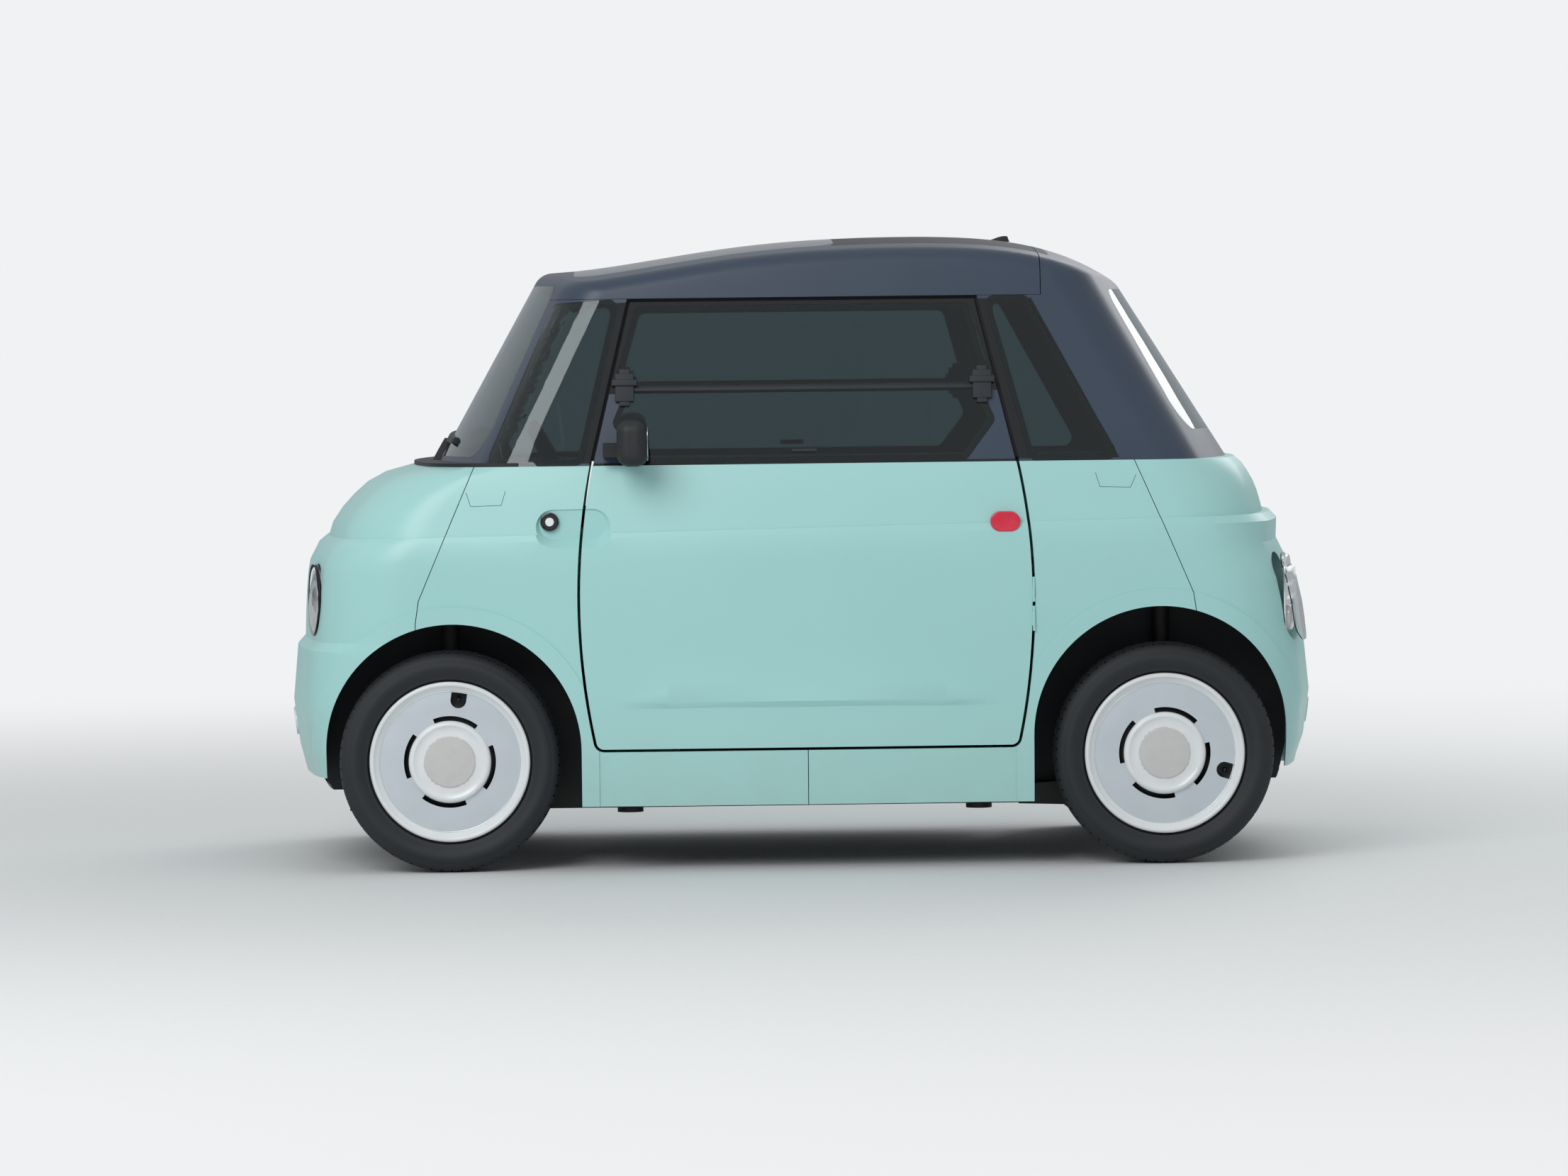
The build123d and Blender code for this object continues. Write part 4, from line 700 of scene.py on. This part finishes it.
for end, way, side, hand in corners:
    hub = Vector((way * axle_x, hand * wheel_y, axle_height))
    outboard = Vector((0, hand, 0))
    shape = bmesh.new()
    for face_way in (1, -1):
        turned(shape, [(face_way * along, out) for along, out in sidewall], hub, outboard, 132)
    turned(shape, rim_bead, hub, outboard, 132)
    across = [(along, out, 1) for along, out in tread] + [(-along, out, -1) for along, out in tread[-2::-1]]
    rings = []
    for pitch in range(pitches):
        for share, depth in pitch_rings:
            ring = []
            for along, out, half in across:
                # The shoulder cuts slant; on the middle ribs they lie half a pitch further round
                slant = 0.35 * abs(along) / 0.056
                late = 0.5 if half < 0 else 0.0
                angle = math.tau * (pitch + share + slant + late) / pitches
                cut = 0.0
                if out >= groove_floor and shoulder[0] <= abs(along) <= shoulder[1]:
                    cut = groove_depth * depth
                elif out >= groove_floor and middle_rib[0] < abs(along) < middle_rib[1]:
                    cut = middle_share * groove_depth * depth
                reach = out - cut
                ring.append(shape.verts.new(hub + outboard * along + Vector(
                    (math.cos(angle) * reach, 0, math.sin(angle) * reach))))
            rings.append(ring)
    for near, far in zip(rings, rings[1:] + rings[:1]):
        for i in range(len(across) - 1):
            shape.faces.new((near[i], near[i + 1], far[i + 1], far[i]))
    bmesh.ops.recalc_face_normals(shape, faces=shape.faces)
    tyre = make_piece(f"tyre_{end}_{side}_rubber", shape, f"{end}_{side}_wheel", "tyre", tyre_rubber)
    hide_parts(f"tyre_{end}_{side}")

# Wheel covers: full discs moulded in ABS. The rim bead is gloss white, the disc is satin silver white,
# and the hub is white round a satin grey centre. Behind them are pressed steel wheels.
gloss_white, tree = new_material("gloss_white_abs")
gloss_place = add(tree, "ShaderNodeTexCoord")
gloss_cloud = add(tree, "ShaderNodeTexNoise", Vector=gloss_place.outputs["Object"], Scale=20.0, Detail=4.0)
gloss_tint = add(tree, "ShaderNodeMix", {"data_type": "RGBA"}, n0=gloss_cloud.outputs["Fac"],
                 n6=linear("#DDE1E2"), n7=linear("#EAEDED"))
gloss_shade = add(tree, "ShaderNodeBsdfPrincipled", Base_Color=gloss_tint.outputs[2], Roughness=0.18)
add(tree, "ShaderNodeOutputMaterial", Surface=gloss_shade.outputs[0])
satin_silver, tree = new_material("satin_silver_abs")
disc_place = add(tree, "ShaderNodeTexCoord")
disc_cloud = add(tree, "ShaderNodeTexNoise", Vector=disc_place.outputs["Object"], Scale=15.0, Detail=4.0)
disc_tint = add(tree, "ShaderNodeMix", {"data_type": "RGBA"}, n0=disc_cloud.outputs["Fac"],
                n6=linear("#C3CCD2"), n7=linear("#D2DADF"))
disc_fleck = add(tree, "ShaderNodeTexNoise", Vector=disc_place.outputs["Object"], Scale=1500.0)
disc_bump = add(tree, "ShaderNodeBump", Strength=0.1, Distance=0.0002, Height=disc_fleck.outputs["Fac"])
disc_shade = add(tree, "ShaderNodeBsdfPrincipled", Base_Color=disc_tint.outputs[2], Roughness=0.32,
                 Metallic=0.25, Normal=disc_bump.outputs[0])
add(tree, "ShaderNodeOutputMaterial", Surface=disc_shade.outputs[0])
hub_grey, tree = new_material("satin_grey_hub_centre")
hub_place = add(tree, "ShaderNodeTexCoord")
hub_cloud = add(tree, "ShaderNodeTexNoise", Vector=hub_place.outputs["Object"], Scale=40.0, Detail=4.0)
hub_tint = add(tree, "ShaderNodeMix", {"data_type": "RGBA"}, n0=hub_cloud.outputs["Fac"],
               n6=linear("#C2C1BF"), n7=linear("#D0CFCD"))
hub_shade = add(tree, "ShaderNodeBsdfPrincipled", Base_Color=hub_tint.outputs[2], Roughness=0.35)
add(tree, "ShaderNodeOutputMaterial", Surface=hub_shade.outputs[0])
wheel_steel, tree = new_material("black_wheel_enamel")
enamel_place = add(tree, "ShaderNodeTexCoord")
enamel_cloud = add(tree, "ShaderNodeTexNoise", Vector=enamel_place.outputs["Object"], Scale=16.0, Detail=5.0)
enamel_tint = add(tree, "ShaderNodeMix", {"data_type": "RGBA"}, n0=enamel_cloud.outputs["Fac"],
                  n6=linear("#141518"), n7=linear("#27282A"))
enamel_shade = add(tree, "ShaderNodeBsdfPrincipled", Base_Color=enamel_tint.outputs[2], Roughness=0.4)
add(tree, "ShaderNodeOutputMaterial", Surface=enamel_shade.outputs[0])

valve_degrees = {"front": 81.5, "rear": -16.5}
valve_reach = 0.152
# Radii where the finish of the cover changes, and how far its dark inside reaches outboard
bead_foot, hub_ring_edge, hub_centre_edge = 0.169, 0.099, 0.062
cover_inside = 0.0535
for end, way, side, hand in corners:
    hub = Vector((way * axle_x, hand * wheel_y, axle_height))
    outboard = Vector((0, hand, 0))
    shape = node_shape(f"cover_{end}_{side}")
    for face in shape.faces:
        centre = face.calc_center_median() - hub
        out = math.hypot(centre.x, centre.z)
        if face.normal.dot(outboard) <= 0.05 and centre.y * hand < cover_inside:
            face.material_index = 3
        elif out > bead_foot or hub_centre_edge < out < hub_ring_edge:
            face.material_index = 0
        else:
            face.material_index = 1 if out > hub_ring_edge else 2
    stand_in(f"cover_{end}_{side}", shape, "wheel_white", gloss_white, satin_silver, hub_grey, wheel_steel)

    rings = bmesh.new()
    # A fine dark line round the foot of the bead and round the grey centre
    turned(rings, [(0.0538, 0.1715), (0.0548, 0.1700), (0.0541, 0.1685)], hub, outboard, 120, 0)
    turned(rings, [(0.0622, 0.0650), (0.0634, 0.0640), (0.0632, 0.0626), (0.0625, 0.0620)],
           hub, outboard, 96, 1)
    turned(rings, [(0.0634, 0.0620), (0.0655, 0.0595), (0.0668, 0.0400), (0.0675, 0.0180), (0.0677, 0.0)],
           hub, outboard, 96, 1)
    sealed(rings)
    make_piece(f"cover_rings_{end}_{side}", rings, f"{end}_{side}_wheel", "wheel_white", satin_silver,
               hub_grey)
    stand_in(f"wheel_{end}_{side}", node_shape(f"wheel_{end}_{side}"), "chassis_steel", wheel_steel)

    # Valve in its notch. The wheels stand as in the photograph, each turned its own way
    valve_turn = math.radians(valve_degrees[end])
    toward = Vector((-hand * math.cos(valve_turn), 0, math.sin(valve_turn)))
    valve = bmesh.new()
    turned(valve, [(0.030, 0.0052), (0.038, 0.0050), (0.042, 0.0036), (0.0485, 0.0034), (0.0495, 0.0028),
                   (0.0495, 0.0)], hub + toward * valve_reach, outboard, 20)
    sealed(valve)
    make_piece(f"valve_{end}_{side}", valve, f"{end}_{side}_wheel", "black_plastic", black_trim)

# Running gear: steel rails, members, arms and axle in black chassis paint with some road dust, and a
# cast aluminium drive case. The battery is one sealed case of powder-coated steel.
chassis_paint, tree = new_material("black_chassis_paint")
chassis_place = add(tree, "ShaderNodeTexCoord")
chassis_dust = add(tree, "ShaderNodeTexNoise", Vector=chassis_place.outputs["Object"], Scale=14.0, Detail=5.0)
chassis_tint = add(tree, "ShaderNodeMix", {"data_type": "RGBA"}, n0=chassis_dust.outputs["Fac"],
                   n6=linear("#17181A"), n7=linear("#34322E"))
chassis_rough = add(tree, "ShaderNodeMapRange", Value=chassis_dust.outputs["Fac"], To_Min=0.4, To_Max=0.65)
chassis_shade = add(tree, "ShaderNodeBsdfPrincipled", Base_Color=chassis_tint.outputs[2],
                    Roughness=chassis_rough.outputs[0])
add(tree, "ShaderNodeOutputMaterial", Surface=chassis_shade.outputs[0])
cast_alloy, tree = new_material("cast_aluminium")
cast_place = add(tree, "ShaderNodeTexCoord")
cast_grain = add(tree, "ShaderNodeTexNoise", Vector=cast_place.outputs["Object"], Scale=250.0, Detail=3.0)
cast_bump = add(tree, "ShaderNodeBump", Strength=0.3, Distance=0.0006, Height=cast_grain.outputs["Fac"])
cast_cloud = add(tree, "ShaderNodeTexNoise", Vector=cast_place.outputs["Object"], Scale=9.0, Detail=4.0)
cast_tint = add(tree, "ShaderNodeMix", {"data_type": "RGBA"}, n0=cast_cloud.outputs["Fac"],
                n6=linear("#8B8E90"), n7=linear("#A5A8AA"))
cast_shade = add(tree, "ShaderNodeBsdfPrincipled", Base_Color=cast_tint.outputs[2], Metallic=1.0,
                 Roughness=0.5, Normal=cast_bump.outputs[0])
add(tree, "ShaderNodeOutputMaterial", Surface=cast_shade.outputs[0])
case_grey, tree = new_material("powder_coated_case")
case_place = add(tree, "ShaderNodeTexCoord")
case_peel = add(tree, "ShaderNodeTexNoise", Vector=case_place.outputs["Object"], Scale=320.0, Detail=2.0)
case_bump = add(tree, "ShaderNodeBump", Strength=0.2, Distance=0.0004, Height=case_peel.outputs["Fac"])
case_cloud = add(tree, "ShaderNodeTexNoise", Vector=case_place.outputs["Object"], Scale=5.0, Detail=4.0)
case_tint = add(tree, "ShaderNodeMix", {"data_type": "RGBA"}, n0=case_cloud.outputs["Fac"],
                n6=linear("#54575A"), n7=linear("#616468"))
case_shade = add(tree, "ShaderNodeBsdfPrincipled", Base_Color=case_tint.outputs[2], Roughness=0.5,
                 Normal=case_bump.outputs[0])
add(tree, "ShaderNodeOutputMaterial", Surface=case_shade.outputs[0])
for node in ("ladder_frame", "cross_members", "front_suspension", "rear_axle", "knuckle_left",
             "knuckle_right"):
    stand_in(node, node_shape(node), "chassis_steel", chassis_paint)
stand_in("drive_unit", node_shape("drive_unit"), "drive_case", cast_alloy)
stand_in("battery", node_shape("battery"), "battery_case", case_grey)

# Cooling ribs cast along both flanks of the drive case, and the bolts round the battery's lid
rib_count, lowest_rib, rib_pitch = 9, 0.235, 0.021
drive_half_depth = 0.1245
ribs = bmesh.new()
for step in range(rib_count):
    height = lowest_rib + step * rib_pitch
    for way in (1, -1):
        foot = Vector((axle_x + way * drive_half_depth, 0, height))
        rounded_plate(ribs, foot, Vector((0, way, 0)), Vector((0, 0, 1)), (0.30, 0.006), 0.0028, 0.0055)
bmesh.ops.recalc_face_normals(ribs, faces=ribs.faces)
make_piece("drive_case_ribs", ribs, "car", "drive_case", cast_alloy)
bolts_per_side, bolt_inset, end_inset = 6, 0.02, 0.03
bolts = bmesh.new()
low, high = (Vector(corner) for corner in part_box("battery"))
bolt_pitch = (high.x - low.x - 2 * end_inset) / (bolts_per_side - 1)
for along in range(bolts_per_side):
    for edge in (low.y + bolt_inset, high.y - bolt_inset):
        place = Vector((low.x + end_inset + along * bolt_pitch, edge, high.z))
        turned(bolts, [(-0.001, 0.0065), (0.0042, 0.0065), (0.0050, 0.0055), (0.0050, 0.0)], place,
               Vector((0, 0, 1)), 6)
sealed(bolts)
make_piece("battery_lid_bolts", bolts, "car", "chassis_steel", cast_alloy)

# Dashboard: one moulded shelf, with a small screen in front of the driver, three round air vents and a
# row of push switches.
dash_plastic, tree = new_material("moulded_dashboard_plastic")
dash_place = add(tree, "ShaderNodeTexCoord")
dash_grain = add(tree, "ShaderNodeTexVoronoi", Vector=dash_place.outputs["Object"], Scale=650.0)
dash_bump = add(tree, "ShaderNodeBump", Strength=0.3, Distance=0.0005, Height=dash_grain.outputs["Distance"])
dash_cloud = add(tree, "ShaderNodeTexNoise", Vector=dash_place.outputs["Object"], Scale=4.0, Detail=3.0)
dash_tint = add(tree, "ShaderNodeMix", {"data_type": "RGBA"}, n0=dash_cloud.outputs["Fac"],
                n6=linear("#23272C"), n7=linear("#2E3339"))
dash_shade = add(tree, "ShaderNodeBsdfPrincipled", Base_Color=dash_tint.outputs[2], Roughness=0.6,
                 Normal=dash_bump.outputs[0])
add(tree, "ShaderNodeOutputMaterial", Surface=dash_shade.outputs[0])
stand_in("dashboard", node_shape("dashboard"), "black_plastic", dash_plastic)
screen_glass, tree = new_material("dark_screen_glass")
screen_place = add(tree, "ShaderNodeTexCoord")
screen_cloud = add(tree, "ShaderNodeTexNoise", Vector=screen_place.outputs["Object"], Scale=25.0)
screen_rough = add(tree, "ShaderNodeMapRange", Value=screen_cloud.outputs["Fac"], To_Min=0.05, To_Max=0.12)
screen_shade = add(tree, "ShaderNodeBsdfPrincipled", Base_Color=linear("#0C1014"),
                   Roughness=screen_rough.outputs[0])
add(tree, "ShaderNodeOutputMaterial", Surface=screen_shade.outputs[0])

vent_radius = 0.031
vent_blades = (-0.018, -0.006, 0.006, 0.018)
dash_face_x, dash_face_height = 0.6455, 0.845
dash_pieces = bmesh.new()
back_up = Vector((0.22, 0, 1)).normalized()
across = Vector((0, -1, 0))
screen_heart = Vector((0.742, 0.30, 0.985))
facing = across.cross(back_up).normalized()
rounded_plate(dash_pieces, screen_heart - facing * 0.012, across, back_up, (0.172, 0.104), 0.016, 0.018)
before = set(dash_pieces.faces)
rounded_plate(dash_pieces, screen_heart + facing * 0.005, across, back_up, (0.158, 0.09), 0.010, 0.0022)
for face in set(dash_pieces.faces) - before:
    face.material_index = 1
face_up = Vector((-0.125, 0, 0.992))
face_out = across.cross(face_up).normalized()
for place in (0.50, 0.0, -0.50):
    heart = Vector((dash_face_x, place, dash_face_height))
    turned(dash_pieces, [(-0.004, 0.040), (0.004, 0.040), (0.007, 0.037), (0.006, 0.033), (-0.001, 0.032),
                         (-0.001, 0.0)], heart, face_out, 40)
    for blade in vent_blades:
        width = 2 * math.sqrt(vent_radius ** 2 - blade ** 2)
        rounded_plate(dash_pieces, heart + face_up * blade - face_out * 0.002, across, face_up,
                      (width, 0.0035), 0.0015, 0.006)
for place in (0.105, 0.078, -0.078, -0.105):
    switch = Vector((dash_face_x, place, dash_face_height))
    rounded_plate(dash_pieces, switch, across, face_up, (0.022, 0.016), 0.004, 0.004, 0.001)
sealed(dash_pieces, 1e-6)
make_piece("dashboard_fittings", dash_pieces, "car", "black_plastic", black_trim, screen_glass)

# Steering wheel: a foamed rim and three spokes round a padded boss.
rim_skin, tree = new_material("foamed_rim_skin")
rim_place = add(tree, "ShaderNodeTexCoord")
rim_grain = add(tree, "ShaderNodeTexVoronoi", Vector=rim_place.outputs["Object"], Scale=380.0)
rim_bump = add(tree, "ShaderNodeBump", Strength=0.35, Distance=0.0005, Height=rim_grain.outputs["Distance"])
rim_cloud = add(tree, "ShaderNodeTexNoise", Vector=rim_place.outputs["Object"], Scale=10.0, Detail=3.0)
rim_tint = add(tree, "ShaderNodeMix", {"data_type": "RGBA"}, n0=rim_cloud.outputs["Fac"],
               n6=linear("#191A1C"), n7=linear("#232528"))
rim_shade = add(tree, "ShaderNodeBsdfPrincipled", Base_Color=rim_tint.outputs[2], Roughness=0.5,
                Normal=rim_bump.outputs[0])
add(tree, "ShaderNodeOutputMaterial", Surface=rim_shade.outputs[0])
stand_in("steering_wheel", node_shape("steering_wheel"), "black_plastic", rim_skin)
boss = bmesh.new()
wheel_heart = Vector((0.575, 0.300, 0.920))
column_rake = math.radians(28)
wheel_axis = Vector((-math.cos(column_rake), 0, math.sin(column_rake)))
wheel_up = Vector((math.sin(column_rake), 0, math.cos(column_rake)))
rounded_plate(boss, wheel_heart - wheel_axis * 0.0165, Vector((0, -1, 0)), wheel_up, (0.105, 0.092), 0.03,
              0.012, 0.006)
for hand in (1, -1):
    for row in (0.012, -0.012):
        button = wheel_heart + Vector((0, hand * 0.074, 0)) + wheel_up * row * 0.7 - wheel_axis * 0.009
        rounded_plate(boss, button, Vector((0, -1, 0)), wheel_up, (0.024, 0.012), 0.004, 0.004, 0.001)
bmesh.ops.recalc_face_normals(boss, faces=boss.faces)
make_piece("steering_boss", boss, "wheel_for_steering", "black_plastic", rim_skin)

# Seats: a cushion and a back on each moulded shell, foam under a knitted cloth, sewn in three panels
# lengthwise with a cross seam. Each pad is swelled as cloth, and rests flat on its shell.
seat_profiles = {
    "cushion": [(0.243, 0.476), (0.234, 0.532), (-0.058, 0.512), (-0.098, 0.494), (-0.132, 0.442)],
    "back": [(-0.152, 0.512), (-0.118, 0.534), (-0.200, 0.934), (-0.228, 0.978), (-0.256, 0.978),
             (-0.293, 0.890), (-0.198, 0.486)],
}
seat_rest = {"cushion": Vector((0.097, 0, -0.995)), "back": Vector((-0.969, 0, -0.247))}
seat_crown = {"cushion": Vector((-0.068, 0, 0.998)), "back": Vector((0.98, 0, 0.2))}
seat_half = 0.196
seat_places = {"left": (0.120, 0.262), "right": (-0.040, -0.262)}
swell_cap = 0.022
swell_pressure = 4.0
swell_frames = 20
voxel = 0.0085
# Two seams run lengthwise, and one crosses each pad at a place along it. A seam is a rounded furrow
seam_sides = (-0.105, 0.105)
seam_cross = {"cushion": 0.115, "back": 0.835}
seam_width, seam_depth, deepest_seam = 0.005, 0.007, 0.008

seat_cloth, tree = new_material("knitted_seat_cloth")
cloth_place = add(tree, "ShaderNodeTexCoord")
cloth_knit = add(tree, "ShaderNodeTexVoronoi", {"feature": "F1"}, Vector=cloth_place.outputs["Object"],
                 Scale=450.0)
cloth_rows = add(tree, "ShaderNodeTexWave", {"bands_direction": "Y"}, Vector=cloth_place.outputs["Object"],
                 Scale=90.0, Distortion=0.6)
cloth_height = add(tree, "ShaderNodeMath", {"operation": "ADD"}, n0=cloth_knit.outputs["Distance"],
                   n1=cloth_rows.outputs["Fac"])
cloth_bump = add(tree, "ShaderNodeBump", Strength=0.5, Distance=0.0008, Height=cloth_height.outputs[0])
cloth_cloud = add(tree, "ShaderNodeTexNoise", Vector=cloth_place.outputs["Object"], Scale=30.0, Detail=5.0)
cloth_tint = add(tree, "ShaderNodeMix", {"data_type": "RGBA"}, n0=cloth_cloud.outputs["Fac"],
                 n6=linear("#2B3036"), n7=linear("#414850"))
cloth_shade = add(tree, "ShaderNodeBsdfPrincipled", Base_Color=cloth_tint.outputs[2], Roughness=0.9,
                  Sheen_Weight=0.3, Normal=cloth_bump.outputs[0])
add(tree, "ShaderNodeOutputMaterial", Surface=cloth_shade.outputs[0])


def evaluated_copy(piece):
    """The mesh that a piece's modifiers give at this frame."""
    graph = bpy.context.evaluated_depsgraph_get()
    return bpy.data.meshes.new_from_object(piece.evaluated_get(graph))


def swollen_pad(kind):
    """One pad at the middle of the car: a block, remeshed, swelled as cloth and then sewn."""
    outline = seat_profiles[kind]
    shape = bmesh.new()
    rows = [[shape.verts.new((x, y, z)) for x, z in outline] for y in (-seat_half, seat_half)]
    count = len(outline)
    for i in range(count):
        j = (i + 1) % count
        shape.faces.new((rows[0][i], rows[0][j], rows[1][j], rows[1][i]))
    shape.faces.new(rows[1])
    shape.faces.new(reversed(rows[0]))
    bmesh.ops.recalc_face_normals(shape, faces=shape.faces)
    bmesh.ops.bevel(shape, geom=shape.edges[:], offset=0.014, segments=4, profile=0.5, affect="EDGES")
    mesh = bpy.data.meshes.new(kind)
    shape.to_mesh(mesh)
    shape.free()
    pad = bpy.data.objects.new(kind, mesh)
    scene.collection.objects.link(pad)
    remesh = pad.modifiers.new("voxels", "REMESH")
    remesh.mode = "VOXEL"
    remesh.voxel_size = voxel
    pad.data = evaluated_copy(pad)
    pad.modifiers.clear()
    start = [v.co.copy() for v in pad.data.vertices]
    cloth = pad.modifiers.new("cloth", "CLOTH")
    cloth.settings.use_pressure = True
    cloth.settings.uniform_pressure_force = swell_pressure
    cloth.settings.effector_weights.gravity = 0.0
    cloth.settings.quality = 5
    cloth.point_cache.frame_start = 1
    cloth.point_cache.frame_end = swell_frames
    for step in range(1, swell_frames + 1):
        scene.frame_set(step)
    swelled = evaluated_copy(pad)
    pad.modifiers.clear()
    scene.frame_set(1)
    rest = seat_rest[kind]
    for v, was in zip(swelled.vertices, start):
        move = v.co - was
        into_shell = max(move.dot(rest), 0.0)
        move -= rest * into_shell
        if move.length > swell_cap:
            move *= swell_cap / move.length
        v.co = was + move
    pad.data = swelled
    finer = pad.modifiers.new("finer", "SUBSURF")
    finer.levels = 1
    finer.render_levels = 1
    pad.data = evaluated_copy(pad)
    pad.modifiers.clear()
    crown = seat_crown[kind]
    facings = [max(v.normal.dot(crown), 0.0) for v in pad.data.vertices]
    for v, facing in zip(pad.data.vertices, facings):
        place = v.co.x if kind == "cushion" else v.co.z
        away = [v.co.y - line for line in seam_sides] + [place - seam_cross[kind]]
        depth = sum(seam_depth * math.exp(-((distance / seam_width) ** 2)) for distance in away)
        v.co -= crown * min(depth, deepest_seam) * facing
    return pad


for kind in ("cushion", "back"):
    made = swollen_pad(kind)
    for side, (along, across_at) in seat_places.items():
        mesh = made.data.copy()
        mesh.transform(Matrix.Translation((along, across_at, 0)))
        mesh.materials.clear()
        mesh.materials.append(seat_cloth)
        mesh.shade_smooth()
        pad = bpy.data.objects.new(f"seat_{kind}_{side}", mesh)
        scene.collection.objects.link(pad)
        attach(pad, "car")
        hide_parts("seat_pads")
    bpy.data.objects.remove(made)

# Door seals: a flat rubber band on the body behind the gap round each door's window frame, which the
# frame shuts against. It keeps daylight out of the gap.
door_outline = [Vector((0.515, 0, 0.99)), Vector((0.42, 0, 1.376)), Vector((-0.42, 0, 1.376)),
                Vector((-0.515, 0, 0.99))]
seal_under_door = 0.012
seal_under_body = 0.016
seal_clearance = 0.001
seal_height = 0.004
seal_samples = 12


def outline_offset(amount):
    """The door outline moved outwards by an amount, its corners kept sharp."""
    runs = [(b - a).normalized() for a, b in zip(door_outline, door_outline[1:])]
    outwards = [run.cross(Vector((0, -1, 0))) for run in runs]
    moved = [door_outline[0] + outwards[0] * amount]
    for point, here, there in zip(door_outline[1:-1], outwards, outwards[1:]):
        middle = (here + there).normalized()
        moved.append(point + middle * amount / middle.dot(here))
    return moved + [door_outline[-1] + outwards[-1] * amount]


for side, hand in (("left", 1), ("right", -1)):
    seal_tree = skin_tree(f"door_frame_{side}")
    probe = outline_offset(-seal_under_door * 0.8)
    edges = outline_offset(-seal_under_door), outline_offset(seal_under_body)
    seal = bmesh.new()
    rings = []
    for i in range(len(door_outline) - 1):
        for share in [j / seal_samples for j in range(seal_samples + 1)]:
            start = probe[i].lerp(probe[i + 1], share) + Vector((0, hand * 0.2, 0))
            hit = seal_tree.ray_cast(start, Vector((0, hand, 0)))[0]
            if hit is None:
                continue
            ring = []
            for edge, depth in ((0, seal_clearance), (1, seal_clearance), (1, seal_clearance + seal_height),
                                (0, seal_clearance + seal_height)):
                place = edges[edge][i].lerp(edges[edge][i + 1], share)
                ring.append(seal.verts.new((place.x, hit.y - hand * depth, place.z)))
            rings.append(ring)
    for near, far in zip(rings, rings[1:]):
        for i in range(4):
            j = (i + 1) % 4
            seal.faces.new((near[i], near[j], far[j], far[i]))
    seal.faces.new(rings[0])
    seal.faces.new(reversed(rings[-1]))
    sealed(seal)
    make_piece(f"door_seal_{side}", seal, "car", "black_plastic", black_trim)

# Roof aerial: a short rubber fin near the back edge of the roof.
fin_points = 24
# Each level of the fin: height, length, width and how far it has moved towards the back
fin_levels = [(-0.002, 0.058, 0.030, 0.0), (0.001, 0.054, 0.024, 0.001), (0.005, 0.040, 0.014, 0.006),
              (0.010, 0.024, 0.008, 0.012), (0.0125, 0.012, 0.004, 0.017)]
fin = bmesh.new()
roof_tree = skin_tree("roof_frame", "rear_frame")
foot = roof_tree.ray_cast(Vector((-0.508, 0, 3)), Vector((0, 0, -1)))[0]
rows = []
for rise, length, width, back in fin_levels:
    ring = [(math.cos(math.tau * i / fin_points), math.sin(math.tau * i / fin_points))
            for i in range(fin_points)]
    rows.append([fin.verts.new(foot + Vector((-back + x * length / 2, y * width / 2, rise)))
                 for x, y in ring])
for near, far in zip(rows, rows[1:]):
    for i in range(fin_points):
        j = (i + 1) % fin_points
        fin.faces.new((near[i], near[j], far[j], far[i]))
fin.faces.new(rows[-1])
bmesh.ops.recalc_face_normals(fin, faces=fin.faces)
make_piece("roof_aerial", fin, "car", "black_plastic", black_trim)
